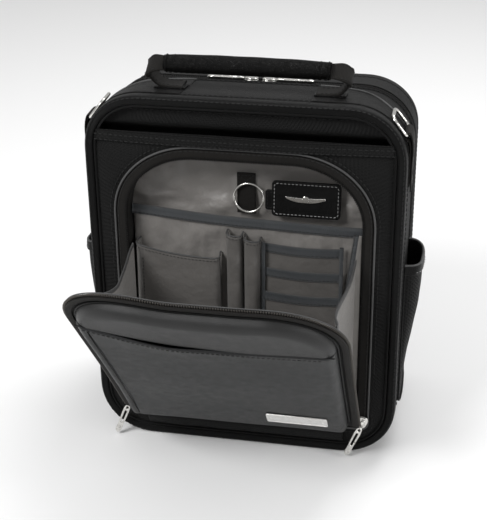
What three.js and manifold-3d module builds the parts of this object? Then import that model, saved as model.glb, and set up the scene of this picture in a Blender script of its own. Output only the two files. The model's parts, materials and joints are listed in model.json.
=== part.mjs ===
// Flight bag: an upright soft case for flight crew. A front organizer compartment closes with a
// drop-down flap, a slip pocket lies behind it, and a main compartment opens like a clamshell.
// Millimetres. X runs along the width, -Y is the front, +Z is up. The origin is the middle of
// the base, on the surface that the bag stands on.
import * as THREE from 'three';
import { mergeVertices } from 'three/addons/utils/BufferGeometryUtils.js';
import Module from 'manifold-3d';

// ---------------------------------------------------------------- driving dimensions
const WIDTH = 264;              // outside width of the case
const FRONT_HEIGHT = 322;       // height of the front panel
const REAR_HEIGHT = 302;        // height of the rear panel: the top slopes down to the back
const FRONT_Y = -70;            // plane of the front panel's face
const REAR_Y = 70;              // plane of the rear panel's face
const CORNER_R = 46;            // radius of the case's outline
const WELT = 8;                 // width of the padded welt round the front and rear outlines
const WELT_DEPTH = 11;          // how far a welt wraps round onto the gusset
const WELT_PROUD = 2;           // how far a welt stands proud of its panel
const GUSSET_T = 4;             // padded gusset
const SHEET = 2.4;              // lined fabric panel
const THIN = 1.3;               // single fabric, hemmed
const GAP = 0.3;                // clearance between neighbouring pieces
const ARCH_HALF = 110;          // half width of the zip's arch on the front panel, over its piping
const ARCH_TOP = 281;
const ARCH_LOW = 24;
const ARCH_RX = 70;             // shoulders of the arch
const ARCH_RZ = 62;
const ARCH_PIPING = 2.5;
const TAPE = 9;                 // visible width of a zip tape
const MOUTH_Z = 291;            // hem of the front slip pocket
const LINING_Y = -48;           // face of the organizer's back lining
const BACKING_Y = -38;          // face of the slip pocket's backing
const FLAP_HALF = 103;          // half width of the drop-down flap
const FLAP_LENGTH = 250;
const FLAP_RX = 62;             // shoulders of the flap
const FLAP_RZ = 56;
const FLAP_OPEN = 38;           // degrees from closed to held open by the side gussets
const HINGE_Y = -78;            // the flap's hinge line
const HINGE_Z = 30;
const FACE_RAISE = 15;          // how far the flap's padded face stands off its panel
const MAIN_ZIP_Y = 14;          // the main compartment's zip line
const HANDLE_Y = -33;           // the handle's pivot line
const HANDLE_Z = 327;
const HANDLE_RISE = 19.8;       // from the pivot line to the middle of the grip
const HANDLE_LEAN = 41;         // degrees that the resting handle leans forward
const HANDLE_X = 66;            // where each end of the handle is sewn on
const PULL_LEAN = 22;           // degrees that the flap's zip pulls hang to one side

const HALF = WIDTH / 2;
const ARC_STEPS = 3;            // half the straight steps in each rounded corner
const wasm = await Module();
wasm.setup();

// ---------------------------------------------------------------- materials
const fabric = (color, roughness = 0.9) => new THREE.MeshStandardMaterial({ color, roughness });
const ballistic = fabric(0x1b1b1d);
const binding = fabric(0x232326);
const tapeCloth = fabric(0x151516);
const satin = fabric(0x6f6765, 0.6);
const gripLeather = fabric(0x222123, 0.55);
const flapVinyl = fabric(0x404143, 0.4);
const fobLeather = fabric(0x0c0c0d, 0.45);
const board = fabric(0x2c2a28);
const nickel = new THREE.MeshStandardMaterial({ color: 0xc9c9c6, roughness: 0.25, metalness: 1 });

const bag = new THREE.Group();

function add(name, geometry, material, parent = bag) {
  const mesh = new THREE.Mesh(geometry, material);
  mesh.name = name;
  parent.add(mesh);
  return mesh;
}

// ---------------------------------------------------------------- shapes in the X-Z plane
// A case outline, moved in by `inset` from the outside.
function outline(inset) {
  const shape = new THREE.Shape();
  const side = HALF - inset;
  const top = FRONT_HEIGHT - inset;
  const mid = HALF - CORNER_R;
  const r = CORNER_R - inset;
  const high = FRONT_HEIGHT - CORNER_R;
  shape.moveTo(-mid, inset);
  shape.lineTo(mid, inset);
  shape.absarc(mid, CORNER_R, r, -Math.PI / 2, 0, false);
  shape.lineTo(side, high);
  shape.absarc(mid, high, r, 0, Math.PI / 2, false);
  shape.lineTo(-mid, top);
  shape.absarc(-mid, high, r, Math.PI / 2, Math.PI, false);
  shape.lineTo(-side, CORNER_R);
  shape.absarc(-mid, CORNER_R, r, Math.PI, 1.5 * Math.PI, false);
  return shape;
}

// A panel with a straight foot and two round shoulders: the zip's arch and the flap.
function arch(half, low, top, rx, rz) {
  const shape = new THREE.Shape();
  shape.moveTo(-half, low);
  shape.lineTo(half, low);
  shape.lineTo(half, top - rz);
  shape.absellipse(half - rx, top - rz, rx, rz, 0, Math.PI / 2, false);
  shape.lineTo(-(half - rx), top);
  shape.absellipse(-(half - rx), top - rz, rx, rz, Math.PI / 2, Math.PI, false);
  shape.lineTo(-half, low);
  return shape;
}

function archInset(inset) {
  return arch(ARCH_HALF - inset, ARCH_LOW + inset, ARCH_TOP - inset, ARCH_RX - inset, ARCH_RZ - inset);
}

function withHole(shape, hole) {
  shape.holes.push(new THREE.Path(hole.getPoints(ARC_STEPS)));
  return shape;
}

// The gusset's section: up one side, over the top and down the other.
function overTop(outside, thickness, low) {
  const shape = new THREE.Shape();
  const mid = HALF - CORNER_R;
  const high = FRONT_HEIGHT - CORNER_R;
  const outer = CORNER_R - outside;
  const inner = outer - thickness;
  shape.moveTo(mid + outer, low);
  shape.absarc(mid, high, outer, 0, Math.PI / 2, false);
  shape.absarc(-mid, high, outer, Math.PI / 2, Math.PI, false);
  shape.lineTo(-mid - outer, low);
  shape.lineTo(-mid - inner, low);
  shape.absarc(-mid, high, inner, Math.PI, Math.PI / 2, true);
  shape.absarc(mid, high, inner, Math.PI / 2, 0, true);
  shape.lineTo(mid + inner, low);
  shape.closePath();
  return shape;
}

// The base's section: down one lower corner, along and up the other.
function underBottom(thickness, high) {
  const shape = new THREE.Shape();
  const mid = HALF - CORNER_R;
  const inner = CORNER_R - thickness;
  shape.moveTo(-HALF, high);
  shape.absarc(-mid, CORNER_R, CORNER_R, Math.PI, 1.5 * Math.PI, false);
  shape.absarc(mid, CORNER_R, CORNER_R, 1.5 * Math.PI, 2 * Math.PI, false);
  shape.lineTo(HALF, high);
  shape.lineTo(mid + inner, high);
  shape.absarc(mid, CORNER_R, inner, 2 * Math.PI, 1.5 * Math.PI, true);
  shape.absarc(-mid, CORNER_R, inner, 1.5 * Math.PI, Math.PI, true);
  shape.lineTo(-mid - inner, high);
  shape.closePath();
  return shape;
}

function rectangle(x0, z0, x1, z1, r = 0) {
  const shape = new THREE.Shape();
  if (r === 0) {
    shape.moveTo(x0, z0);
    shape.lineTo(x1, z0);
    shape.lineTo(x1, z1);
    shape.lineTo(x0, z1);
    return shape;
  }
  shape.moveTo(x0 + r, z0);
  shape.lineTo(x1 - r, z0);
  shape.absarc(x1 - r, z0 + r, r, -Math.PI / 2, 0, false);
  shape.lineTo(x1, z1 - r);
  shape.absarc(x1 - r, z1 - r, r, 0, Math.PI / 2, false);
  shape.lineTo(x0 + r, z1);
  shape.absarc(x0 + r, z1 - r, r, Math.PI / 2, Math.PI, false);
  shape.lineTo(x0, z0 + r);
  shape.absarc(x0 + r, z0 + r, r, Math.PI, 1.5 * Math.PI, false);
  return shape;
}

// ---------------------------------------------------------------- solids
// A flat piece: an X-Z shape from the plane y0 back to y1, with a chamfer all round its edges.
function slab(shape, y0, y1, chamfer = 0) {
  const geometry = new THREE.ExtrudeGeometry(shape, {
    depth: y1 - y0 - 2 * chamfer,
    curveSegments: ARC_STEPS,
    bevelEnabled: chamfer > 0,
    bevelThickness: chamfer,
    bevelSize: chamfer,
    bevelOffset: -chamfer,
    bevelSegments: 1,
  });
  geometry.rotateX(Math.PI / 2);
  geometry.translate(0, y1 - chamfer, 0);
  return geometry;
}

// A piece of constant section along X, drawn in the Y-Z plane as [y, z] points.
function bar(points, x0, x1) {
  const shape = new THREE.Shape(points.map(([y, z]) => new THREE.Vector2(y, z)));
  const geometry = new THREE.ExtrudeGeometry(shape, { depth: x1 - x0, bevelEnabled: false });
  geometry.rotateY(Math.PI / 2);
  geometry.rotateX(Math.PI / 2);
  geometry.translate(x0, 0, 0);
  return geometry;
}

// A piece of constant section along Z, drawn in the X-Y plane.
function column(shape, z0, z1) {
  const geometry = new THREE.ExtrudeGeometry(shape, {
    depth: z1 - z0,
    curveSegments: ARC_STEPS,
    bevelEnabled: false,
  });
  geometry.translate(0, 0, z0);
  return geometry;
}

// The case's slope: heights shrink evenly from the front face to the rear one.
function heightAt(y) {
  return 1 - (1 - REAR_HEIGHT / FRONT_HEIGHT) * (y - FRONT_Y) / (REAR_Y - FRONT_Y);
}

function sloped(geometry) {
  const position = geometry.attributes.position;
  for (let i = 0; i < position.count; i += 1) {
    position.setZ(i, position.getZ(i) * heightAt(position.getY(i)));
  }
  geometry.computeVertexNormals();
  return geometry;
}

function toSolid(geometry) {
  const bare = geometry.clone();
  bare.deleteAttribute('normal');
  bare.deleteAttribute('uv');
  const merged = mergeVertices(bare, 1e-4);
  const vertProperties = new Float32Array(merged.attributes.position.array);
  const triVerts = new Uint32Array(merged.index.array);
  return new wasm.Manifold(new wasm.Mesh({ numProp: 3, vertProperties, triVerts }));
}

function toGeometry(solid) {
  const mesh = solid.getMesh();
  const geometry = new THREE.BufferGeometry();
  geometry.setAttribute('position', new THREE.BufferAttribute(mesh.vertProperties, 3));
  geometry.setIndex(new THREE.BufferAttribute(mesh.triVerts, 1));
  geometry.computeVertexNormals();
  return geometry;
}

const cut = (a, b) => toGeometry(toSolid(a).subtract(toSolid(b)));
const common = (a, b) => toGeometry(toSolid(a).intersect(toSolid(b)));

// ---------------------------------------------------------------- the case
const WELT_INNER_Y = FRONT_Y - WELT_PROUD + WELT_DEPTH;
const REAR_WELT_Y = REAR_Y + WELT_PROUD - WELT_DEPTH;
const SIDE_LOW = CORNER_R + GAP;
const TAPE_IN = 0.6;            // the main zip's tape lies this far below the gusset's surface

function welt(y0) {
  const ring = withHole(outline(0), outline(WELT));
  return sloped(slab(ring, y0, y0 + WELT_DEPTH));
}

function buildFrontShell() {
  add('front_welt', welt(FRONT_Y - WELT_PROUD), binding);
  const face = withHole(outline(WELT + GAP), archInset(ARCH_PIPING + TAPE));
  const above = slab(rectangle(-HALF, MOUTH_Z, HALF, FRONT_HEIGHT + 10), FRONT_Y - 5, FRONT_Y + 8);
  add('front_panel', sloped(cut(slab(face, FRONT_Y, FRONT_Y + SHEET), above)), ballistic);
  const gusset = overTop(0, GUSSET_T, SIDE_LOW);
  const front = slab(gusset, WELT_INNER_Y + GAP, MAIN_ZIP_Y - TAPE * 0.7 - GAP);
  add('front_gusset', sloped(front), ballistic);
  const base = underBottom(GUSSET_T, CORNER_R);
  add('base_panel', sloped(slab(base, WELT_INNER_Y + GAP, REAR_WELT_Y - GAP)), ballistic);
  const mid = HALF - CORNER_R;
  add('base_board', slab(rectangle(-mid, GUSSET_T + GAP, mid, GUSSET_T + 3), -32, 52), board);
}

// The backing leans forward above the slip pocket's mouth, so that papers lead in from the front.
function buildSlipPocket() {
  const low = 9;
  const bend = MOUTH_Z - 6;
  const top = FRONT_HEIGHT - WELT - 0.6;
  const front = FRONT_Y + 8;
  const side = bar([
    [BACKING_Y, low],
    [BACKING_Y + SHEET, low],
    [BACKING_Y + SHEET, bend + 1.6],
    [front + SHEET, top],
    [front, top],
    [BACKING_Y, bend],
  ], -HALF, HALF);
  const inside = slab(outline(WELT + GAP), FRONT_Y, REAR_Y);
  add('slip_pocket_backing', sloped(common(side, inside)), ballistic);
}

function buildFrontZip() {
  const piping = withHole(archInset(0), archInset(ARCH_PIPING));
  add('arch_piping', sloped(slab(piping, FRONT_Y - 2.4, FRONT_Y - GAP)), binding);
  const tape = withHole(archInset(ARCH_PIPING + GAP), archInset(ARCH_PIPING + TAPE));
  add('arch_zip_tape', sloped(slab(tape, FRONT_Y - 1.6, FRONT_Y - GAP)), tapeCloth);
}

// ---------------------------------------------------------------- the organizer
const BAY = ARCH_PIPING + TAPE;          // inset of the organizer's opening from the arch
const WIDE_POCKET_Z = 209;               // top of the wide pocket
const WIDE_POCKET_Y = LINING_Y - 6.6;    // face of the wide pocket
const POCKET_LOW = 36;

function buildOrganizerShell() {
  const back = slab(outline(WELT + 6), LINING_Y, LINING_Y + SHEET);
  const above = slab(rectangle(-HALF, MOUTH_Z - 3, HALF, FRONT_HEIGHT + 10), LINING_Y - 5, LINING_Y + 8);
  add('organizer_lining', sloped(cut(back, above)), satin);
  const wall = withHole(archInset(BAY - 3), archInset(BAY - 1));
  add('organizer_wall', sloped(slab(wall, FRONT_Y + SHEET + GAP, LINING_Y - GAP)), satin);
}

function buildWidePocket() {
  const half = ARCH_HALF - BAY - 1;
  const panel = rectangle(-half, POCKET_LOW, half, WIDE_POCKET_Z - 8.3);
  add('wide_pocket', slab(panel, WIDE_POCKET_Y, WIDE_POCKET_Y + THIN), satin);
  const strip = rectangle(-half, WIDE_POCKET_Z - 8, half, WIDE_POCKET_Z);
  add('wide_pocket_binding', slab(strip, WIDE_POCKET_Y - 0.4, WIDE_POCKET_Y + THIN), binding);
}

// A pocket with side gussets, open at the top and backed by the panel behind it.
function channel(x0, x1, yFront, yBack, wall) {
  const shape = new THREE.Shape();
  shape.moveTo(x0, yBack);
  shape.lineTo(x0, yFront);
  shape.lineTo(x1, yFront);
  shape.lineTo(x1, yBack);
  shape.lineTo(x1 - wall, yBack);
  shape.lineTo(x1 - wall, yFront + wall);
  shape.lineTo(x0 + wall, yFront + wall);
  shape.lineTo(x0 + wall, yBack);
  shape.closePath();
  return shape;
}

function buildSmallPockets() {
  const back = WIDE_POCKET_Y - GAP;
  const phone = channel(-94, -21, FRONT_Y + 1, back, THIN);
  add('phone_pocket', column(phone, 60, 184), satin);
  const sleeves = [['pen_sleeve_left', -16, -3], ['pen_sleeve_right', -1, 12]];
  for (const [name, x0, x1] of sleeves) {
    add(name, column(channel(x0, x1, back - 11.5, back, THIN), 104, 194), satin);
  }
  const tops = [193, 171, 149];
  const names = ['card_slot_top', 'card_slot_middle', 'card_slot_bottom'];
  names.forEach((name, i) => {
    const y1 = back - i * (THIN + GAP);
    add(name, slab(rectangle(15.5, 96, 80, tops[i]), y1 - THIN, y1), satin);
  });
  add('tall_slot', slab(rectangle(83, 42, 97, 200), back - THIN, back), satin);
}

// ---------------------------------------------------------------- key leash
const LEASH_Y = LINING_Y - GAP;
const RING_R = 12.4;
const RING_WIRE = 1.3;
const RING_X = 1.5;
const RING_FOOT_Z = 219;        // the ring turns about its lowest point, in the tab's fold
const RING_TILT = 5;            // degrees that it leans back on the lining
const FOB = { x0: 21, x1: 78.5, z0: -1.5, z1: 29.5, t: 2.8 };

function buildKeyLeash() {
  const tab = slab(rectangle(-9, 216, 7, 252), LEASH_Y - 1.6, LEASH_Y);
  add('key_leash_tab', tab, tapeCloth);
  const leash = new THREE.Group();
  leash.position.set(RING_X, LEASH_Y - 5.6, RING_FOOT_Z);
  leash.rotation.x = -THREE.MathUtils.degToRad(RING_TILT);
  bag.add(leash);
  const ring = new THREE.TorusGeometry(RING_R, RING_WIRE, 6, 20);
  ring.rotateX(Math.PI / 2);
  ring.translate(0, 0, RING_R);
  add('key_ring', ring, nickel, leash);
  const { x0, x1, z0, z1, t } = FOB;
  const plate = toSolid(slab(rectangle(x0 - RING_X, z0, x1 - RING_X, z1, 3), -t / 2, t / 2));
  const neckX = RING_R + RING_WIRE + GAP;
  const neck = toSolid(slab(rectangle(neckX, 3, x0 + 2, 21), -t / 2, t / 2));
  add('key_fob', toGeometry(plate.add(neck)), fobLeather, leash);
  const badge = slab(rectangle(33 - RING_X, 9.5, 66 - RING_X, 19.5, 3), -t / 2 - 1, -t / 2 - GAP);
  add('fob_badge', badge, nickel, leash);
}

// ---------------------------------------------------------------- drop-down flap
// Drawn closed, with its hinge line at the origin, then turned open about that line.
const FLAP_FOOT = 2;
const NOTCH_HALF = 88;          // the flap's foot is narrower, which leaves room for the sliders
const NOTCH_TOP = 14;
const FACE_INSET = 11;
const FACE_FOOT = 26;
const FACE_SEAM = 213;          // mouth of the flap's own slip pocket

function flapShape(inset, foot) {
  const half = FLAP_HALF - inset;
  const top = FLAP_LENGTH - inset;
  return arch(half, foot, top, FLAP_RX - inset, FLAP_RZ - inset);
}

function notched(geometry) {
  let solid = toSolid(geometry);
  for (const side of [-1, 1]) {
    const far = side * (FLAP_HALF + 5);
    const near = side * NOTCH_HALF;
    const block = rectangle(Math.min(far, near), -5, Math.max(far, near), NOTCH_TOP);
    solid = solid.subtract(toSolid(slab(block, -FACE_RAISE - 20, 20)));
  }
  return toGeometry(solid);
}

function buildFlap() {
  const flap = new THREE.Group();
  flap.position.set(0, HINGE_Y, HINGE_Z);
  flap.rotation.x = THREE.MathUtils.degToRad(FLAP_OPEN);
  bag.add(flap);
  const panelT = 3;
  const body = slab(flapShape(1.5, FLAP_FOOT), -panelT, 0);
  add('flap_panel', notched(body), ballistic, flap);
  add('flap_lining', notched(slab(flapShape(4, FLAP_FOOT), GAP, 1.5)), satin, flap);
  const edge = withHole(flapShape(0, NOTCH_TOP), flapShape(5, NOTCH_TOP + 3));
  add('flap_zip_tape', slab(edge, -panelT - 1.6, -panelT - GAP), tapeCloth, flap);
  const face = flapShape(FACE_INSET, FACE_FOOT);
  const lower = slab(rectangle(-HALF, -10, HALF, FACE_SEAM), -50, 20);
  const upper = slab(rectangle(-HALF, FACE_SEAM + GAP, HALF, FLAP_LENGTH + 20), -50, 20);
  const padded = slab(face, -FACE_RAISE, -panelT - GAP, 5);
  add('flap_face', common(padded, lower), flapVinyl, flap);
  add('flap_upper_band', common(slab(face, 1.5 - FACE_RAISE, -panelT - GAP, 5), upper), flapVinyl, flap);
  const plate = rectangle(29, 48, 80, 66, 1);
  add('nameplate', slab(plate, -FACE_RAISE - 1.2, -FACE_RAISE - GAP), nickel, flap);
}

// A point on the open flap, a distance s up from the hinge and n in from its panel, as [y, z].
function onOpenFlap(s, n) {
  const angle = THREE.MathUtils.degToRad(FLAP_OPEN);
  const y = HINGE_Y + n * Math.cos(angle) - s * Math.sin(angle);
  const z = HINGE_Z + n * Math.sin(angle) + s * Math.cos(angle);
  return [y, z];
}

function buildFlapHinge() {
  const fold = bar([
    [FRONT_Y - 7, HINGE_Z - 14],
    [FRONT_Y - 2.7, HINGE_Z - 16],
    [FRONT_Y - 2.7, HINGE_Z - 2],
    [FRONT_Y - 7, HINGE_Z - 3],
  ], -NOTCH_HALF, NOTCH_HALF);
  add('flap_hinge_fold', fold, binding);
  const gusset = [
    onOpenFlap(20, 3.4),
    [FRONT_Y - 3, 52],
    [FRONT_Y - 3, 192],
    onOpenFlap(150, 60),
    onOpenFlap(216, 3.4),
  ];
  for (const [name, side] of [['flap_gusset_left', -1], ['flap_gusset_right', 1]]) {
    const x = side * 94;
    add(name, bar(gusset, x - 0.9, x + 0.9), satin);
  }
}

// ---------------------------------------------------------------- main compartment, rear shell
function buildRearShell() {
  const half = TAPE * 0.7;
  const inner = GUSSET_T - 1.8;
  const tape = overTop(TAPE_IN, inner, SIDE_LOW);
  const frontTape = slab(tape, MAIN_ZIP_Y - half, MAIN_ZIP_Y - GAP);
  const rearTape = slab(tape, MAIN_ZIP_Y + GAP, MAIN_ZIP_Y + half);
  add('main_zip_tape_front', sloped(frontTape), tapeCloth);
  add('main_zip_tape_rear', sloped(rearTape), tapeCloth);
  const gusset = overTop(0, GUSSET_T, SIDE_LOW);
  add('rear_gusset', sloped(slab(gusset, MAIN_ZIP_Y + half + GAP, REAR_WELT_Y - GAP)), ballistic);
  add('rear_welt', welt(REAR_WELT_Y), binding);
  add('rear_panel', sloped(slab(outline(WELT + GAP), REAR_Y - 6, REAR_Y)), ballistic);
  const stiff = slab(rectangle(-108, 22, 108, 284, 12), REAR_Y - 9.4, REAR_Y - 6.6);
  add('back_board', sloped(stiff), board);
}

// ---------------------------------------------------------------- side pockets
const SIDE_POCKET = { y0: -50, y1: 4, z0: 44, z1: 178, bulge: 14, wall: 2 };

function buildSidePockets() {
  const { y0, y1, z0, z1, bulge, wall } = SIDE_POCKET;
  const mid = (y0 + y1) / 2;
  const half = (y1 - y0) / 2;
  for (const [name, side] of [['side_pocket_left', -1], ['side_pocket_right', 1]]) {
    const wrap = (reach, span, low) => {
      const shape = new THREE.Shape();
      const x = side * (HALF + GAP);
      const mouth = side * reach;
      shape.moveTo(x, mid - span);
      shape.bezierCurveTo(x + mouth, mid - span, x + mouth * 1.1, mid - span * 0.8, x + mouth, mid);
      shape.bezierCurveTo(x + mouth * 1.1, mid + span * 0.8, x + mouth, mid + span, x, mid + span);
      return column(shape, low, z1 + (low - z0));
    };
    add(name, cut(wrap(bulge, half, z0), wrap(bulge - wall, half - wall, z0 + wall)), ballistic);
  }
}

// ---------------------------------------------------------------- carrying hardware
const D_RING = { width: 27, reach: 23, wire: 3, y: -47, angle: 38 };

function dRingShape() {
  const { width, reach, wire } = D_RING;
  const draw = (inset) => {
    const half = width / 2 - inset;
    const tip = reach - wire / 2 - inset;
    const r = 6 - inset * 0.7;
    const path = new THREE.Shape();
    path.moveTo(-wire / 2 + inset, -half);
    path.lineTo(tip - r, -half);
    path.absarc(tip - r, -half + r, r, -Math.PI / 2, 0, false);
    path.lineTo(tip, half - r);
    path.absarc(tip - r, half - r, r, 0, Math.PI / 2, false);
    path.lineTo(-wire / 2 + inset, half);
    return path;
  };
  return withHole(draw(0), draw(wire));
}

// Each ring lies on a top corner of the case; its bar is at the group's origin.
function buildDRings() {
  const { wire, y, angle } = D_RING;
  const a = THREE.MathUtils.degToRad(angle);
  const high = (FRONT_HEIGHT - CORNER_R) * heightAt(y);
  const out = CORNER_R + 2.2;
  const barX = HALF - CORNER_R + out * Math.cos(a) + 10 * Math.sin(a);
  const barZ = high + out * Math.sin(a) - 10 * Math.cos(a);
  for (const [word, side] of [['left', -1], ['right', 1]]) {
    const mount = new THREE.Group();
    mount.position.set(side * barX, y, barZ);
    mount.rotation.y = Math.atan2(-Math.cos(a), -side * Math.sin(a));
    bag.add(mount);
    const ring = new THREE.ExtrudeGeometry(dRingShape(), {
      depth: wire,
      curveSegments: ARC_STEPS,
      bevelEnabled: false,
    });
    ring.translate(0, 0, -wire / 2);
    add(`d_ring_${word}`, ring, nickel, mount);
    const x0 = side > 0 ? HALF + GAP : -HALF - GAP - SHEET;
    const tab = rectangle(x0, 248, x0 + SHEET, barZ - wire / 2 - 0.6);
    add(`d_ring_tab_${word}`, slab(tab, y - 10, y + 10), tapeCloth);
  }
}

const GRIP = { half: 68, width: 15, height: 14 };

function buildHandle() {
  const handle = new THREE.Group();
  handle.position.set(0, HANDLE_Y, HANDLE_Z);
  handle.rotation.x = THREE.MathUtils.degToRad(HANDLE_LEAN);
  bag.add(handle);
  const gripHalf = GRIP.half;
  const { width, height } = GRIP;
  const section = rectangle(-width / 2, HANDLE_RISE - height / 2, width / 2, HANDLE_RISE + height / 2, 5);
  const grip = column(section, -gripHalf, gripHalf);
  grip.rotateY(Math.PI / 2);
  grip.rotateX(Math.PI / 2);
  add('handle_grip', grip, gripLeather, handle);
  const strap = rectangle(-9, -1.6, 9, 1.6);
  for (const [word, side] of [['left', -1], ['right', 1]]) {
    const path = new THREE.CatmullRomCurve3([
      new THREE.Vector3(side * (gripHalf + 1), 0, HANDLE_RISE),
      new THREE.Vector3(side * (gripHalf + 12), 0, HANDLE_RISE - 3),
      new THREE.Vector3(side * (gripHalf + 15), 0, HANDLE_RISE - 9),
      new THREE.Vector3(side * (gripHalf + 8), 0, 6),
      new THREE.Vector3(side * HANDLE_X, 0, 4.8),
    ]);
    const band = new THREE.ExtrudeGeometry(strap, {
      steps: 12,
      extrudePath: path,
      bevelEnabled: false,
    });
    add(`handle_band_${word}`, band, gripLeather, handle);
    const low = FRONT_HEIGHT + GAP;
    const x0 = side * HANDLE_X - 13;
    const patch = slab(rectangle(x0, low, x0 + 26, low + 2), HANDLE_Y - 10, HANDLE_Y + 10);
    add(`handle_base_${word}`, sloped(patch), gripLeather);
  }
}

// ---------------------------------------------------------------- zip sliders and pulls
const SLIDER = { length: 12, width: 9, height: 4.4 };
const PULL = { length: 31, width: 5.6, t: 1.6 };
const PULL_CLEAR = 1.2;         // from a slider's nose to its pull's pivot

// A slider along local X, lying on local Z = 0, with a low bridge for its pull.
function sliderBody() {
  const { length, width, height } = SLIDER;
  const shape = new THREE.Shape();
  const nose = length / 2;
  shape.moveTo(-nose, 0);
  shape.lineTo(nose, 0);
  shape.lineTo(nose, height * 0.55);
  shape.lineTo(nose - 3, height * 0.55);
  shape.lineTo(nose - 4.5, height);
  shape.lineTo(-nose + 4.5, height);
  shape.lineTo(-nose + 3, height * 0.55);
  shape.lineTo(-nose, height * 0.55);
  shape.closePath();
  const body = new THREE.ExtrudeGeometry(shape, { depth: width, bevelEnabled: false });
  body.rotateX(Math.PI / 2);
  body.translate(0, width / 2, 0);
  return body;
}

// A pull along +X from its pivot, with an eye at the pivot and a round end.
function pullTab() {
  const { length, width, t } = PULL;
  const half = width / 2;
  const shape = new THREE.Shape();
  shape.moveTo(0, -half * 0.8);
  shape.lineTo(length - half, -half);
  shape.absarc(length - half, 0, half, -Math.PI / 2, Math.PI / 2, false);
  shape.lineTo(0, half * 0.8);
  const tab = new THREE.ExtrudeGeometry(shape, {
    depth: t,
    curveSegments: ARC_STEPS,
    bevelEnabled: false,
  });
  tab.translate(0, 0, -t / 2);
  return tab;
}

function buildMainSliders() {
  const z = FRONT_HEIGHT * heightAt(MAIN_ZIP_Y) + GAP;
  const slope = Math.atan((FRONT_HEIGHT - REAR_HEIGHT) / (REAR_Y - FRONT_Y));
  for (const [word, side] of [['left', -1], ['right', 1]]) {
    const mount = new THREE.Group();
    mount.position.set(side * 8, MAIN_ZIP_Y, z);
    mount.rotation.x = -slope;
    bag.add(mount);
    add(`main_zip_slider_${word}`, sliderBody(), nickel, mount);
    const pull = pullTab();
    pull.rotateZ(side > 0 ? 0 : Math.PI);
    pull.translate(side * (SLIDER.length / 2 + PULL_CLEAR), 0, 2);
    add(`main_zip_pull_${word}`, pull, nickel, mount);
  }
}

function buildFlapSliders() {
  const lean = THREE.MathUtils.degToRad(PULL_LEAN);
  for (const [word, side] of [['left', -1], ['right', 1]]) {
    const mount = new THREE.Group();
    mount.position.set(side * 104, FRONT_Y - 2.8, 34);
    mount.rotation.y = lean;
    bag.add(mount);
    const body = sliderBody();
    body.rotateY(Math.PI / 2);
    body.rotateZ(-Math.PI / 2);
    const upright = new THREE.Box3().setFromBufferAttribute(body.attributes.position);
    body.translate(0, -upright.max.y, 0);
    add(`flap_zip_slider_${word}`, body, nickel, mount);
    const pull = pullTab();
    pull.rotateX(Math.PI / 2);
    pull.rotateY(Math.PI / 2);
    pull.translate(0, -SLIDER.height - 2.4, -3);
    add(`flap_zip_pull_${word}`, pull, nickel, mount);
  }
}

buildFrontShell();
buildSlipPocket();
buildFrontZip();
buildOrganizerShell();
buildWidePocket();
buildSmallPockets();
buildKeyLeash();
buildFlap();
buildFlapHinge();
buildRearShell();
buildSidePockets();
buildDRings();
buildHandle();
buildMainSliders();
buildFlapSliders();

export default bag;
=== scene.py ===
import json
import math

import bpy
import numpy as np
from mathutils import Matrix, Vector


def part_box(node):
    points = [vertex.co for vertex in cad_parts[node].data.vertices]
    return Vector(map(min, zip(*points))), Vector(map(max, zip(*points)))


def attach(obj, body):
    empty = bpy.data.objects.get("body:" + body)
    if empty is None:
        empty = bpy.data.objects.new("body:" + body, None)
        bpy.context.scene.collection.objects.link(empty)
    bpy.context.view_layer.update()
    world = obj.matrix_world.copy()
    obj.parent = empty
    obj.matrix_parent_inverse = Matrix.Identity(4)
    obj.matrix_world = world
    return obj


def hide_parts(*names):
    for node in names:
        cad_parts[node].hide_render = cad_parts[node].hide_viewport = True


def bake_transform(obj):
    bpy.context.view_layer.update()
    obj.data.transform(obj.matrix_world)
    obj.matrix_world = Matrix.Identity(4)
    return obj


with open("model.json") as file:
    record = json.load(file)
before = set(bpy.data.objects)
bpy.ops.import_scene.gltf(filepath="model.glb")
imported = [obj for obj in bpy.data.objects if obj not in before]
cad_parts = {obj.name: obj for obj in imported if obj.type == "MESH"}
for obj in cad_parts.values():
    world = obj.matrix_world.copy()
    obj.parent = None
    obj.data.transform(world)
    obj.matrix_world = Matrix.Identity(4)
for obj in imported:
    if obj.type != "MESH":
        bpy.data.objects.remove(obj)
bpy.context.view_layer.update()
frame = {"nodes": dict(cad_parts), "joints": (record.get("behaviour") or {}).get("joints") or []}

# Flight bag: the soft goods, hardware and finishes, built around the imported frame. Lengths are in
# millimetres in this script and become metres where a mesh is made. X runs along the width, -Y is
# the front and +Z is up.
MM = 0.001


def span(node):
    """Lowest and highest corner of a CAD node, in millimetres."""
    low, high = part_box(node)
    return np.array(low) / MM, np.array(high) / MM


# ---------------------------------------------------------------- the case's driving dimensions
WELT_LOW, WELT_HIGH = span("front_welt")
REAR_WELT_LOW, REAR_WELT_HIGH = span("rear_welt")
HALF = WELT_HIGH[0]
FRONT_Y = span("front_panel")[0][1]
REAR_Y = span("rear_panel")[1][1]
DROP = (WELT_HIGH[2] - REAR_WELT_HIGH[2]) / (REAR_WELT_LOW[1] - WELT_LOW[1])
HEIGHT = WELT_HIGH[2] - DROP * (FRONT_Y - WELT_LOW[1])
CORNER_R = 46
WELT = 8
MOUTH_Z = span("front_panel")[1][2]
ARCH_LOW_CORNER, ARCH_HIGH_CORNER = span("arch_piping")
ARCH_HALF = ARCH_HIGH_CORNER[0]
ARCH_LOW = ARCH_LOW_CORNER[2]
ARCH_TOP = ARCH_HIGH_CORNER[2]
ARCH_RX = 70
ARCH_RZ = 62
JOINTS = {j["name"]: j for j in frame["joints"]}


def height_at(y):
    """The case's slope: heights shrink evenly from the front face to the rear one."""
    return 1 - DROP * (y - FRONT_Y) / HEIGHT


def sloped(points):
    points = np.array(points, float)
    points[..., 2] *= height_at(points[..., 1])
    return points


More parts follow.
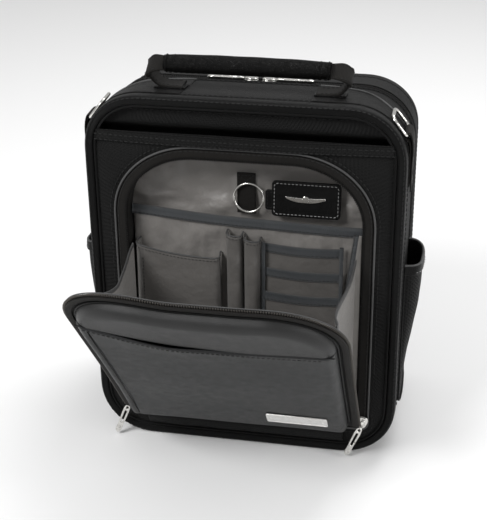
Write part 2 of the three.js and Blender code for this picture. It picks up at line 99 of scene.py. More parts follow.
def ease(t):
    t = np.clip(t, 0, 1)
    return t * t * (3 - 2 * t)


def ripple(points, size, seed, waves=9):
    """Smooth unevenness from about -1 to 1, with features about `size` millimetres across."""
    rng = np.random.default_rng(seed)
    total = np.zeros(points.shape[:-1])
    for _ in range(waves):
        way = rng.normal(size=points.shape[-1])
        way /= np.linalg.norm(way)
        length = size * rng.uniform(0.7, 2.2)
        total += np.sin(points @ way * math.tau / length + rng.uniform(0, math.tau))
    return total / math.sqrt(waves * 2)


# ---------------------------------------------------------------- outlines in the X-Z plane
def loop(half, low, top, foot_r, rx, rz, counts=(36, 8, 40, 14)):
    """A closed outline from its lower left corner to the right and round. Outlines match point by point."""
    flat, foot, side, shoulder = counts

    def line(x0, z0, x1, z1, n):
        t = np.arange(n)[:, None] / n
        return np.array([x0, z0]) * (1 - t) + np.array([x1, z1]) * t

    def arc(cx, cz, ax, az, start, n):
        a = np.radians(start + 90 * np.arange(n) / n)
        return np.stack([cx + ax * np.cos(a), cz + az * np.sin(a)], 1)

    return np.vstack([
        line(-half + foot_r, low, half - foot_r, low, flat),
        arc(half - foot_r, low + foot_r, foot_r, foot_r, -90, foot),
        line(half, low + foot_r, half, top - rz, side),
        arc(half - rx, top - rz, rx, rz, 0, shoulder),
        line(half - rx, top, rx - half, top, flat),
        arc(rx - half, top - rz, rx, rz, 90, shoulder),
        line(-half, top - rz, -half, low + foot_r, side),
        arc(foot_r - half, low + foot_r, foot_r, foot_r, 180, foot),
    ])


def case_loop(inset):
    r = CORNER_R - inset
    return loop(HALF - inset, inset, HEIGHT - inset, r, r, r)


def arch_loop(inset):
    r = max(7 - inset * 0.4, 1)
    return loop(ARCH_HALF - inset, ARCH_LOW + inset, ARCH_TOP - inset, r, ARCH_RX - inset, ARCH_RZ - inset)


def over(half, low, top, rx, rz, straight=30, shoulder=14, flat=36):
    """An open outline: up the left side, over the top and down the right one."""
    closed = loop(half, low, top, 0.5, rx, rz, (flat, 1, straight, shoulder))
    start = flat + 1
    end = start + straight + shoulder + flat + shoulder + straight
    return closed[start:end + 1][::-1]


def half_at(z, inset):
    """Half the case's width at height z, moved in by `inset`."""
    z = np.asarray(z, float)
    r = CORNER_R - inset
    mid = HALF - CORNER_R
    rise = np.maximum(np.maximum(CORNER_R - z, z - (HEIGHT - CORNER_R)), 0)
    return mid + np.sqrt(np.maximum(r * r - rise * rise, 0))


def at_depth(outline, y):
    """An X-Z outline at depth y, on the sloping case."""
    flat = np.stack([outline[:, 0], np.full(len(outline), float(y)), outline[:, 1]], 1)
    return sloped(flat)


# ---------------------------------------------------------------- mesh making
def lengths(points):
    """Distance along a path at each of its points."""
    steps = np.linalg.norm(np.diff(points, axis=0), axis=1)
    return np.concatenate([[0], np.cumsum(steps)])


def own_name(name):
    """A piece that stands for a CAD node takes the node's name with an ending of its own."""
    return name + "_piece" if name in frame["nodes"] else name


def new_object(name, vertices, faces, uv=None):
    name = own_name(name)
    mesh = bpy.data.meshes.new(name)
    mesh.from_pydata((np.asarray(vertices) * MM).tolist(), [], faces)
    if uv is not None:
        layer = mesh.uv_layers.new(name="weave")
        layer.data.foreach_set("uv", (np.asarray(uv) * MM).astype(np.float32).ravel())
    mesh.validate()
    mesh.polygons.foreach_set("use_smooth", np.ones(len(mesh.polygons), bool))
    piece = bpy.data.objects.new(name, mesh)
    bpy.context.scene.collection.objects.link(piece)
    return piece


def settle(piece):
    """Applies the piece's modifiers, so that its mesh is final."""
    graph = bpy.context.evaluated_depsgraph_get()
    mesh = bpy.data.meshes.new_from_object(piece.evaluated_get(graph))
    old = piece.data
    piece.modifiers.clear()
    piece.data = mesh
    mesh.name = piece.name
    bpy.data.meshes.remove(old)
    return piece


def quads(rows, cols, wrap_rows=False, wrap_cols=False):
    """Corner places (row, column) of each face of a grid. A wrapped side ends past its last line."""
    i, j = np.meshgrid(np.arange(rows - 1 + wrap_rows), np.arange(cols - 1 + wrap_cols), indexing="ij")
    i, j = i.ravel(), j.ravel()
    return np.stack([i, i + 1, i + 1, i], 1), np.stack([j, j, j + 1, j + 1], 1)


def gridded(name, grid, wrap_rows=False, wrap_cols=False, caps=()):
    """A mesh through a (rows, columns, 3) grid, with a map in true lengths for its weave."""
    grid = np.asarray(grid, float)
    rows, cols = grid.shape[:2]
    fi, fj = quads(rows, cols, wrap_rows, wrap_cols)
    faces = (fi % rows) * cols + fj % cols
    full = np.concatenate([grid, grid[:1]]) if wrap_rows else grid
    full = np.concatenate([full, full[:, :1]], 1) if wrap_cols else full
    along = np.concatenate([[0], np.cumsum(np.linalg.norm(np.diff(full, axis=0), axis=2).mean(1))])
    across = np.concatenate([[0], np.cumsum(np.linalg.norm(np.diff(full, axis=1), axis=2).mean(0))])
    uv = np.stack([along[fi], across[fj]], -1).reshape(-1, 2)
    faces = faces.tolist()
    for cap in caps:
        faces.append(cap)
        uv = np.vstack([uv, np.zeros((len(cap), 2))])
    return new_object(name, grid.reshape(-1, 3), faces, uv)


def face_out(piece, outward):
    """Turns the faces so that they look along `outward`, or away from the case's middle."""
    mesh = piece.data
    normal = np.zeros(len(mesh.polygons) * 3)
    centre = np.zeros(len(mesh.polygons) * 3)
    area = np.zeros(len(mesh.polygons))
    mesh.polygons.foreach_get("normal", normal)
    mesh.polygons.foreach_get("center", centre)
    mesh.polygons.foreach_get("area", area)
    normal, centre = normal.reshape(-1, 3), centre.reshape(-1, 3)
    if isinstance(outward, str):
        middle = np.array([0, 0, HEIGHT / 2]) * MM
        way = centre - middle
    else:
        way = np.array(outward, float)[None]
    if ((normal * way).sum(1) * area).sum() < 0:
        mesh.flip_normals()
    return piece


def sheet_of(name, grid, thickness, outward, wrap=False, smooth=1):
    """A sheet of cloth or board: the grid is its outer face, and its thickness goes inwards."""
    piece = face_out(gridded(name, grid, wrap_rows=wrap), outward)
    solid = piece.modifiers.new("thickness", "SOLIDIFY")
    solid.thickness = thickness * MM
    solid.offset = -1
    solid.use_even_offset = False
    if smooth:
        soft = piece.modifiers.new("smooth", "SUBSURF")
        soft.levels = soft.render_levels = smooth
    return settle(piece)


def frames_along(path, side, closed=False):
    """Unit tangent, side and outward directions at each point of a path."""
    if closed:
        tangent = np.roll(path, -1, 0) - np.roll(path, 1, 0)
    else:
        tangent = np.gradient(path, axis=0)
    tangent /= np.linalg.norm(tangent, axis=1)[:, None]
    side = np.broadcast_to(np.asarray(side, float), path.shape)
    side = side - (side * tangent).sum(1)[:, None] * tangent
    side /= np.linalg.norm(side, axis=1)[:, None]
    return tangent, side, np.cross(side, tangent)


def sweep(name, path, section, side=(0, 1, 0), closed=False, smooth=1, scale=None):
    """A closed section of (side, outward) points carried along a path."""
    path, section = np.asarray(path, float), np.asarray(section, float)
    _, across, outward = frames_along(path, side, closed)
    grow = np.ones(len(path)) if scale is None else np.asarray(scale, float)
    sized = section[None] * grow[:, None, None]
    grid = path[:, None] + sized[..., :1] * across[:, None] + sized[..., 1:] * outward[:, None]
    rows, cols = grid.shape[:2]
    caps = [] if closed else [list(range(cols))[::-1], [(rows - 1) * cols + k for k in range(cols)]]
    piece = gridded(name, grid, wrap_rows=closed, wrap_cols=True, caps=caps)
    if smooth:
        soft = piece.modifiers.new("smooth", "SUBSURF")
        soft.levels = soft.render_levels = smooth
        settle(piece)
    return piece


def oval(width, height, n=10):
    a = np.arange(n) * math.tau / n
    return np.stack([width / 2 * np.cos(a), height / 2 * np.sin(a)], 1)


def padded_section(width, height, n=20, square=0.55):
    """A rounded rectangle, between an oval at square 1 and a box towards 0."""
    a = np.arange(n) * math.tau / n
    c, s = np.cos(a), np.sin(a)
    return np.stack([width / 2 * np.sign(c) * np.abs(c) ** square,
            height / 2 * np.sign(s) * np.abs(s) ** square], 1)


def resample(path, pitch, closed=False):
    path = np.vstack([path, path[:1]]) if closed else np.asarray(path, float)
    along = lengths(path)
    count = max(int(along[-1] / pitch), 2)
    want = np.linspace(0, along[-1], count + 1)
    want = want[:-1] if closed else want
    return np.stack([np.interp(want, along, path[:, k]) for k in range(3)], 1)


def pill(length, width, height, n=6):
    """Vertices (along, across, up) and faces of a small rounded bead."""
    rings = [(-0.5, 0.45), (-0.32, 0.9), (0, 1.0), (0.32, 0.9), (0.5, 0.45)]
    a = np.arange(n) * math.tau / n
    points = [[length * t, width / 2 * r * math.cos(x), height / 2 * r * math.sin(x)] for t,
            r in rings for x in a]
    faces = [[k * n + i, (k + 1) * n + i, (k + 1) * n + (i + 1) % n, k * n + (i + 1) % n]
             for k in range(len(rings) - 1) for i in range(n)]
    faces.append(list(range(n)))
    faces.append([(len(rings) - 1) * n + i for i in range(n)][::-1])
    return np.array(points), faces


def repeated(name, centres, tangent, side, up, shape):
    """Copies of one small shape, joined in one mesh."""
    points, faces = shape
    vertices = (centres[:, None] + points[None, :, :1] * tangent[:, None]
                + points[None, :, 1:2] * side[:, None] + points[None, :, 2:] * up[:, None])
    step = len(points)
    every = [[corner + k * step for corner in face] for k in range(len(centres)) for face in faces]
    uv = np.zeros((sum(len(f) for f in every), 2))
    return new_object(name, vertices.reshape(-1, 3), every, uv)


def stitches(name, path, side, length=3.0, gap=1.3, width=0.8, closed=False):
    """A row of thread stitches. `side` lies in the cloth, across the row."""
    centres = resample(path, length + gap, closed)
    tangent, across, up = frames_along(centres, side, closed)
    return repeated(name, centres, tangent, across, up, pill(length, width, width))


def teeth(name, path, side, reach=3.2, pitch=1.7, shift=0.0, edgewise=False):
    """One half of a zip's coil: small bars across the path, along `side`, or square to it if edgewise."""
    centres = resample(path, pitch)
    tangent, across, up = frames_along(centres, side)
    if edgewise:
        across, up = up, across
    centres = centres + tangent * shift * pitch
    points, faces = pill(reach, pitch * 0.62, 1.5)
    points = points[:, [1, 0, 2]]
    return repeated(name, centres, tangent, across, up, (points, [f[::-1] for f in faces]))


def plate(name, outlines, thickness, bevel, matrix):
    """A flat plate with rounded edges. The first outline is its edge, and the others are holes."""
    curve = bpy.data.curves.new(name, "CURVE")
    curve.dimensions = "2D"
    curve.fill_mode = "BOTH"
    curve.extrude = (thickness / 2 - bevel) * MM
    curve.bevel_depth = bevel * MM
    curve.bevel_resolution = 2
    curve.offset = -bevel * MM
    for outline in outlines:
        spline = curve.splines.new("POLY")
        spline.points.add(len(outline) - 1)
        for point, (x, y) in zip(spline.points, outline):
            point.co = (x * MM, y * MM, 0, 1)
        spline.use_cyclic_u = True
    drawn = bpy.data.objects.new(name + "_outline", curve)
    bpy.context.scene.collection.objects.link(drawn)
    graph = bpy.context.evaluated_depsgraph_get()
    mesh = bpy.data.meshes.new_from_object(drawn.evaluated_get(graph))
    bpy.data.objects.remove(drawn)
    mesh.transform(matrix)
    piece = bpy.data.objects.new(own_name(name), mesh)
    bpy.context.scene.collection.objects.link(piece)
    return piece


def rounded(x0, y0, x1, y1, r, n=6):
    """A rounded rectangle's outline."""
    corners = [(x1 - r, y0 + r, -90), (x1 - r, y1 - r, 0), (x0 + r, y1 - r, 90), (x0 + r, y0 + r, 180)]
    return [(cx + r * math.cos(math.radians(a + 90 * k / n)),
            cy + r * math.sin(math.radians(a + 90 * k / n)))
            for cx, cy, a in corners for k in range(n + 1)]


def basis(x_axis, y_axis, z_axis, origin):
    """The matrix that takes a plate's own axes to these, in millimetres."""
    m = Matrix([list(x_axis) + [0], list(y_axis) + [0], list(z_axis) + [0], [0, 0, 0, 1]]).transposed()
    m.translation = Vector(origin) * MM
    return m


def joined(name, *parts):
    """Several meshes of one finish as one piece."""
    mesh = bpy.data.meshes.new(name)
    vertices, faces, uv = [], [], []
    for part in parts:
        start = len(vertices)
        vertices += [tuple(v.co) for v in part.data.vertices]
        faces += [[start + i for i in p.vertices] for p in part.data.polygons]
        layer = part.data.uv_layers.get("weave")
        uv += [tuple(d.uv) for d in layer.data] if layer else [(0, 0)] * len(part.data.loops)
    mesh.from_pydata(vertices, [], faces)
    mesh.uv_layers.new(name="weave").data.foreach_set("uv", np.array(uv, np.float32).ravel())
    mesh.polygons.foreach_set("use_smooth", np.ones(len(mesh.polygons), bool))
    for part in parts:
        bpy.data.objects.remove(part)
    piece = bpy.data.objects.new(own_name(name), mesh)
    bpy.context.scene.collection.objects.link(piece)
    return piece


def draped(grid, held, grow=0.03, limit=3.0, frames=22, way=None):
    """Lets a sheet that is cut `grow` larger than its frame buckle into soft folds between its held edges."""
    grid = np.asarray(grid, float)
    cloth = gridded("settling", grid)
    group = cloth.vertex_groups.new(name="held")
    group.add(np.flatnonzero(held.ravel()).tolist(), 1.0, "REPLACE")
    modifier = cloth.modifiers.new("cloth", "CLOTH")
    settings = modifier.settings
    settings.quality = 6
    settings.mass = 0.12
    settings.tension_stiffness = settings.compression_stiffness = 25
    settings.bending_stiffness = 0.08
    settings.shrink_min = -grow
    settings.vertex_group_mass = "held"
    modifier.point_cache.frame_end = frames
    scene = bpy.context.scene
    for number in range(1, frames + 1):
        scene.frame_set(number)
    moved = cloth.evaluated_get(bpy.context.evaluated_depsgraph_get())
    out = np.zeros(grid.size)
    moved.data.vertices.foreach_get("co", out)
    out = out.reshape(grid.shape) / MM
    bpy.data.objects.remove(cloth)
    scene.frame_set(1)
    change = out - grid
    size = np.linalg.norm(change, axis=-1, keepdims=True)
    return grid + change * np.minimum(1, limit / np.maximum(size, 1e-6))


# ---------------------------------------------------------------- finishes
def node(tree, kind, inputs=(), **settings):
    made = tree.nodes.new(kind)
    for key, value in settings.items():
        setattr(made, key, value)
    for key, value in dict(inputs).items():
        if isinstance(value, bpy.types.NodeSocket):
            tree.links.new(value, made.inputs[key])
        else:
            made.inputs[key].default_value = value
    return made


def calc(tree, operation, a, b=0.0):
    return node(tree, "ShaderNodeMath", {0: a, 1: b}, operation=operation).outputs[0]


def tint(tree, factor, first, second):
    inputs = {0: factor, 6: (*first, 1), 7: (*second, 1)}
    return node(tree, "ShaderNodeMix", inputs, data_type="RGBA").outputs[2]


def noise(tree, vector, scale, detail=2.0):
    inputs = {"Vector": vector, "Scale": scale, "Detail": detail}
    return node(tree, "ShaderNodeTexNoise", inputs).outputs[0]


def ridge(tree, value, pitch):
    """0 to 1 and back over each pitch, as yarns side by side."""
    turns = calc(tree, "MULTIPLY", value, math.pi / (pitch * MM))
    return calc(tree, "ABSOLUTE", calc(tree, "SINE", turns))


def basket_weave(tree, u, v, pitch):
    cell_u = calc(tree, "FLOOR", calc(tree, "DIVIDE", u, pitch * MM))
    cell_v = calc(tree, "FLOOR", calc(tree, "DIVIDE", v, pitch * MM))
    odd = calc(tree, "ABSOLUTE", calc(tree, "MODULO", calc(tree, "ADD", cell_u, cell_v), 2))
    warp = calc(tree, "MULTIPLY", ridge(tree, u, pitch), odd)
    weft = calc(tree, "MULTIPLY", ridge(tree, v, pitch), calc(tree, "SUBTRACT", 1, odd))
    return calc(tree, "ADD", warp, weft)


def twill(tree, u, v, pitch):
    return ridge(tree, calc(tree, "ADD", u, v), pitch)


def ribbed(tree, u, v, pitch):
    cross = calc(tree, "MULTIPLY", ridge(tree, v, pitch * 0.6), 0.25)
    return calc(tree, "ADD", calc(tree, "MULTIPLY", ridge(tree, u, pitch), 0.75), cross)


def herringbone(tree, u, v, pitch):
    fold = ridge(tree, v, pitch * 5)
    return ridge(tree, calc(tree, "ADD", u, calc(tree, "MULTIPLY", fold, pitch * MM * 3)), pitch)


def bare(name):
    made = bpy.data.materials.new(name)
    made.use_nodes = True
    return made, made.node_tree, made.node_tree.nodes["Principled BSDF"]


def bumped(tree, height, distance, strength=1.0, under=None):
    inputs = {"Height": height, "Distance": distance * MM, "Strength": strength}
    if under is not None:
        inputs["Normal"] = under
    return node(tree, "ShaderNodeBump", inputs).outputs[0]


def cloth(name, dark, light, weave, pitch, depth, roughness, sheen=0.03, wear=0.5, crease=0.4,
        specular=0.2):
    """A woven fabric. Its weave follows the piece's own map; dust and wear vary across it."""
    made, tree, shader = bare(name)
    mapped = node(tree, "ShaderNodeUVMap", uv_map="weave").outputs[0]
    drift = noise(tree, mapped, 260, 1.0)
    parts = node(tree, "ShaderNodeSeparateXYZ", {0: mapped})
    shift = calc(tree, "MULTIPLY", calc(tree, "SUBTRACT", drift, 0.5), pitch * MM * 0.7)
    u = calc(tree, "ADD", parts.outputs[0], shift)
    v = calc(tree, "ADD", parts.outputs[1], shift)
    height = weave(tree, u, v, pitch)
    blotch = noise(tree, mapped, 22, 4.0)
    yarn = noise(tree, mapped, 900, 1.0)
    tone = calc(tree, "ADD", calc(tree, "MULTIPLY", height, 0.55), calc(tree, "MULTIPLY", yarn, 0.25))
    dust = calc(tree, "MULTIPLY", calc(tree, "SUBTRACT", blotch, 0.42), wear)
    colour = tint(tree, node(tree, "ShaderNodeClamp", {0: calc(tree, "ADD", tone, dust)}).outputs[0],
            dark, light)
    tree.links.new(colour, shader.inputs["Base Color"])
    rough = calc(tree, "ADD", roughness - 0.08, calc(tree, "MULTIPLY", blotch, 0.16))
    tree.links.new(rough, shader.inputs["Roughness"])
    folds = bumped(tree, noise(tree, mapped, 45, 3.0), 1.2 * crease)
    tree.links.new(bumped(tree, height, depth, 0.9, folds), shader.inputs["Normal"])
    shader.inputs["Sheen Weight"].default_value = sheen
    shader.inputs["Sheen Roughness"].default_value = 0.45
    shader.inputs["Specular IOR Level"].default_value = specular
    return made


def hide(name, dark, light, grain, depth, roughness, coat=0.0, wear=0.5, specular=0.4):
    """Leather or vinyl: pebbled grain, with polish and scuffs that vary across it."""
    made, tree, shader = bare(name)
    place_at = node(tree, "ShaderNodeTexCoord").outputs["Object"]
    inputs = {"Vector": place_at, "Scale": 1000 / grain, "Randomness": 0.9}
    cells = node(tree, "ShaderNodeTexVoronoi", inputs, feature="DISTANCE_TO_EDGE").outputs[0]
    pebble = node(tree, "ShaderNodeClamp", {0: calc(tree, "MULTIPLY", cells, 3.5)}).outputs[0]
    blotch = noise(tree, place_at, 26, 4.0)
    scuff = noise(tree, place_at, 140, 4.0)
    tone = calc(tree, "ADD", calc(tree, "MULTIPLY", pebble, 0.35), calc(tree, "MULTIPLY", scuff, 0.2))
    tone = calc(tree, "ADD", tone, calc(tree, "MULTIPLY", calc(tree, "SUBTRACT", blotch, 0.4), wear))
    colour = tint(tree, node(tree, "ShaderNodeClamp", {0: tone}).outputs[0], dark, light)
    tree.links.new(colour, shader.inputs["Base Color"])
    rough = calc(tree, "ADD", roughness - 0.1, calc(tree, "MULTIPLY", scuff, 0.22))
    tree.links.new(rough, shader.inputs["Roughness"])
    soft = bumped(tree, blotch, 0.8)
    tree.links.new(bumped(tree, pebble, depth, 0.8, soft), shader.inputs["Normal"])
    shader.inputs["Coat Weight"].default_value = coat
    shader.inputs["Coat Roughness"].default_value = 0.3
    shader.inputs["Specular IOR Level"].default_value = specular
    return made


def metal(name, colour, tarnish, roughness):
    """Plated metal: fine brushed lines, dull handling marks and pits."""
    made, tree, shader = bare(name)
    place_at = node(tree, "ShaderNodeTexCoord").outputs["Object"]
    stretched = node(tree, "ShaderNodeMapping", {"Vector": place_at, "Scale": (60, 900, 900)}).outputs[0]
    lines = noise(tree, stretched, 1.0, 2.0)
    marks = noise(tree, place_at, 320, 4.0)
    dull = node(tree, "ShaderNodeClamp", {0: calc(tree, "MULTIPLY", calc(tree, "SUBTRACT", marks, 0.45),
            3)})
    tree.links.new(tint(tree, dull.outputs[0], colour, tarnish), shader.inputs["Base Color"])
    shine = calc(tree, "ADD", roughness, calc(tree, "MULTIPLY", dull.outputs[0], 0.16))
    tree.links.new(calc(tree, "ADD", shine, calc(tree, "MULTIPLY", lines, 0.08)),
            shader.inputs["Roughness"])
    tree.links.new(bumped(tree, lines, 0.05, 0.5), shader.inputs["Normal"])
    shader.inputs["Metallic"].default_value = 1.0
    return made


def plain_board(name):
    """Pressed fibre board inside the base and the back."""
    made, tree, shader = bare(name)
    place_at = node(tree, "ShaderNodeTexCoord").outputs["Object"]
    fibres = noise(tree, place_at, 420, 6.0)
    tree.links.new(tint(tree, fibres, (0.02, 0.018, 0.016), (0.05, 0.045, 0.04)),
            shader.inputs["Base Color"])
    tree.links.new(calc(tree, "ADD", 0.75, calc(tree, "MULTIPLY", fibres, 0.2)), shader.inputs["Roughness"])
    tree.links.new(bumped(tree, fibres, 0.2), shader.inputs["Normal"])
    return made


def grey(value, warm=0.0):
    return (value * (1 + warm), value, value * (1 - warm))


LOOK = {
    "ballistic_nylon": cloth("ballistic_nylon", grey(0.0015), grey(0.011), basket_weave, 1.7, 0.4, 0.7,
            wear=0.35, specular=0.12),
    "welt_binding": cloth("welt_binding", grey(0.002), grey(0.007), twill, 0.9, 0.15, 0.42, crease=0.9,
            specular=0.08),
    "tape_webbing": cloth("tape_webbing", grey(0.003, 0.05), grey(0.015, 0.1), ribbed, 1.1, 0.3, 0.7,
            specular=0.12),
    "satin_lining": cloth("satin_lining", grey(0.11, 0.05), grey(0.23, 0.06), twill, 0.55, 0.05, 0.38,
                          sheen=0.25, wear=0.6, crease=2.2, specular=0.6),
    # A darker copy of the satin lining: painted shade on the small pockets.
    "pocket_satin_painted_shade": cloth("pocket_satin_painted_shade", grey(0.06, 0.05), grey(0.13, 0.06), twill, 0.55, 0.05, 0.38,
                          sheen=0.2, wear=0.6, crease=2.2, specular=0.5),
    "pocket_binding": cloth("pocket_binding", grey(0.018, -0.1), grey(0.085, -0.08), herringbone, 1.5,
            0.4, 0.5,
                            sheen=0.1, crease=1.5, specular=0.4),
    "zip_coil": cloth("zip_coil", grey(0.02, 0.15), grey(0.09, 0.2), ribbed, 0.8, 0.2, 0.4, specular=0.4),
    # Light grey cords along edges: partly real piping, and their lightness is a painted highlight where the
    # edges catch the light.
    "edge_piping_painted_highlight": cloth("edge_piping_painted_highlight", grey(0.025), grey(0.09), ribbed, 1.0, 0.2, 0.45, specular=0.3),
    "grip_leather": hide("grip_leather", grey(0.0015), grey(0.005, 0.05), 1.3, 0.35, 0.4, specular=0.08),
    # A lighter copy of the flap's vinyl: painted sheen on the flap's upper band, where the light grazes it.
    "band_leather_painted_sheen": hide("band_leather_painted_sheen", grey(0.012), grey(0.028), 0.7, 0.07, 0.4, 0.02, 0.35,
            specular=0.25),
    "flap_leather": hide("flap_leather", grey(0.0045, -0.06), grey(0.0115, -0.06), 0.7, 0.07, 0.4, 0.02,
            0.35, specular=0.2),
    "fob_leather": hide("fob_leather", grey(0.001), grey(0.004), 0.9, 0.14, 0.4, specular=0.14),
    "nickel": metal("nickel", (0.75, 0.74, 0.71), (0.4, 0.39, 0.37), 0.16),
    "satin_steel": metal("satin_steel", (0.82, 0.81, 0.79), (0.7, 0.69, 0.67), 0.3),
    "stiffener_board": plain_board("stiffener_board"),
    "thread_dark": cloth("thread_dark", grey(0.008), grey(0.04), twill, 0.4, 0.1, 0.6),
    "thread_pale": cloth("thread_pale", grey(0.28), grey(0.6), twill, 0.4, 0.1, 0.6),
}


def dress(piece, look, stands_for=()):
    """Gives a piece its finish and hides the CAD nodes that it stands for."""
    piece.data.materials.clear()
    piece.data.materials.append(LOOK[look])
    if stands_for:
        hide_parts(*stands_for)
    return piece


def fit(piece, look, body="case", stands_for=()):
    """Dresses a piece that moves with one body."""
    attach(dress(piece, look, stands_for), body)
    return piece


# ---------------------------------------------------------------- camera, floor and light
def set_stage():
    camera = bpy.data.objects.new("camera", bpy.data.cameras.new("camera"))
    camera.data.lens = 88
    camera.data.sensor_width = 36
    camera.data.clip_start = 0.05
    right = Vector((0.98217, 0.18769, -0.01032)).normalized()
    back = Vector((0.17214, -0.87601, 0.45053)).normalized()
    up = back.cross(right).normalized()
    view = Matrix((right, up, back)).transposed().to_4x4()
    view.translation = Vector((0.18266, -0.99987, 0.66019))
    camera.matrix_world = view
    bpy.context.scene.collection.objects.link(camera)
    bpy.context.scene.camera = camera

    floor = new_object("floor", [[-4000, -4000, 0], [4000, -4000, 0], [4000, 4000, 0], [-4000, 4000, 0]],
            [[0, 1, 2, 3]])
    made, tree, shader = bare("pale_floor")
    shader.inputs["Base Color"].default_value = (0.86, 0.86, 0.86, 1)
    shader.inputs["Roughness"].default_value = 0.9
    floor.data.materials.append(made)

    lamps = [
        ("key", (-0.9, -1.3, 1.5), 0.8, 30),
        ("top", (0.35, 0.6, 1.5), 0.8, 12),
        ("side", (1.5, -0.5, 0.7), 0.6, 9),
    ]
    for name, place, size, power in lamps:
        lamp = bpy.data.lights.new(name, "AREA")
        lamp.size = size
        lamp.energy = power
        lamp.shape = "DISK"
        thing = bpy.data.objects.new(name, lamp)
        thing.location = place
        thing.rotation_euler = (Vector((0, 0, 0.15)) - thing.location).to_track_quat("-Z", "Y").to_euler()
        bpy.context.scene.collection.objects.link(thing)
    world = bpy.data.worlds.new("studio")
    world.use_nodes = True
    world.node_tree.nodes["Background"].inputs[0].default_value = (1, 1, 1, 1)
    world.node_tree.nodes["Background"].inputs[1].default_value = 0.5
    bpy.context.scene.world = world
    bpy.context.scene.view_settings.view_transform = "Standard"


# ---------------------------------------------------------------- the case
def build_welts():
    section = padded_section(11, 8, 24, 0.6)
    for name, body, low, outer in (("front_welt", "case", WELT_LOW[1], -1),
            ("rear_welt", "rear_shell", REAR_WELT_LOW[1], 1)):
        path = at_depth(case_loop(WELT / 2), low + 5.5)
        wobble = 1 + 0.05 * ripple(path, 60, 3)
        piece = sweep(name, path, section, closed=True, scale=wobble)
        fit(piece, "welt_binding", body, [name])
        face_y = FRONT_Y - 0.7 if outer < 0 else REAR_Y + 0.7
        cord = sweep(name + "_piping", at_depth(case_loop(WELT + 1.2), face_y), oval(2.3, 2.3, 8),
                closed=True)
        fit(cord, "welt_binding", body)
        seam_y = low + (5.5 - outer * 6.0)
        ridge_path = at_depth(case_loop(0.6), seam_y)
        seam = sweep(name + "_seam", ridge_path, oval(2.0, 1.8, 8), closed=True)
        fit(seam, "welt_binding", body)
        row = stitches(name + "_stitches", at_depth(case_loop(2.2), face_y - outer * -1.6 + outer * 0.0),
                (0, 1, 0), closed=True)
        fit(row, "thread_dark", body)


def build_front_panel():
    inner = arch_loop(11.5)
    edge = case_loop(WELT + 0.3)
    mouth = MOUTH_Z / height_at(FRONT_Y)
    edge[:, 1] = np.minimum(edge[:, 1], mouth)
    t = np.linspace(0, 1, 18)[None, :, None]
    flat = inner[:, None] * (1 - t) + edge[:, None] * t
    puff = np.sin(math.pi * np.clip((t[..., 0] - 0.25) / 0.75, 0, 1))
    y = FRONT_Y + 0.3 - 0.9 * puff - 0.5 * ripple(flat, 70, 11) * puff
    grid = sloped(np.stack([flat[..., 0], y, flat[..., 1]], -1))
    piece = fit(sheet_of("front_panel", grid, 2.2, (0, -1, 0), wrap=True), "ballistic_nylon", "case",
            ["front_panel"])
    x = np.linspace(-121, 121, 60)
    sag = 1 - (x / 121) ** 2
    path = np.stack([x, FRONT_Y - 1.2 - 1.2 * sag, mouth - 3.7 - 1.6 * sag], 1)
    hem = sweep("slip_pocket_hem", path, padded_section(2.6, 9.5, 14, 0.4), side=(0, 1, 0))
    fit(hem, "ballistic_nylon")
    lip = np.stack([x, FRONT_Y - 1.9 - 1.2 * sag, mouth + 0.4 - 1.6 * sag], 1)
    fit(sweep("slip_pocket_lip", lip, oval(1.5, 1.3, 8)), "welt_binding")
    for k, drop in enumerate((2.6, 7.4)):
        row = np.stack([x, FRONT_Y - 2.7 - 1.2 * sag, mouth - drop - 1.6 * sag], 1)
        fit(stitches(f"slip_pocket_hem_stitches_{k + 1}", row, (0, 0, 1)), "thread_dark")


def build_slip_backing():
    low, high = span("slip_pocket_backing")
    bend = 285
    top = HEIGHT - WELT - 0.6
    back_y = high[1] - 2.4
    front_y = FRONT_Y + 4.5
    levels = np.concatenate([np.linspace(9.5, bend, 40), np.linspace(bend, top, 17)[1:]])
    rise = np.clip((levels - bend) / 14, 0, 1)
    y = back_y + (front_y - back_y) * ease(rise)
    width = half_at(levels, WELT + 0.5)
    u = np.linspace(-1, 1, 44)[:, None]
    grid = np.stack([u * width[None], np.broadcast_to(y, (44, len(y))),
            np.broadcast_to(levels, (44, len(y)))], -1)
    grid[..., 1] += 0.5 * ripple(grid, 60, 5)
    piece = sheet_of("slip_pocket_backing", sloped(grid), 2.2, (0, -1, 0.3))
    fit(piece, "ballistic_nylon", "case", ["slip_pocket_backing"])
    x = np.linspace(-96, 96, 50)
    band = np.stack([x, np.full(50, front_y - 1.2), np.full(50, top - 3.5)], 1)
    fit(stitches("top_band_stitches", sloped(band), (0, 0, 1)), "thread_dark")


def over_top(inset, low, n=64):
    r = CORNER_R - inset
    return over(HALF - inset, low, HEIGHT - inset, r, r, straight=26, shoulder=12, flat=26)


def gusset_grid(inset, low, y0, y1, columns, bulge, seed):
    outline = over_top(inset, low)
    t = np.linspace(0, 1, columns)
    y = y0 + (y1 - y0) * t
    flat = np.stack([
        np.broadcast_to(outline[:, None, 0], (len(outline), columns)),
        np.broadcast_to(y, (len(outline), columns)),
        np.broadcast_to(outline[:, None, 1], (len(outline), columns)),
    ], -1).copy()
    middle = np.array([0, 0, HEIGHT - CORNER_R])
    way = flat - middle
    way[..., 1] = 0
    way[..., 0] *= 1.0
    way /= np.linalg.norm(way, axis=-1, keepdims=True)
    lift = bulge * np.sin(math.pi * t)[None] * (0.35 + 0.4 * ripple(flat, 55, seed))
    return sloped(flat + way * lift[..., None])


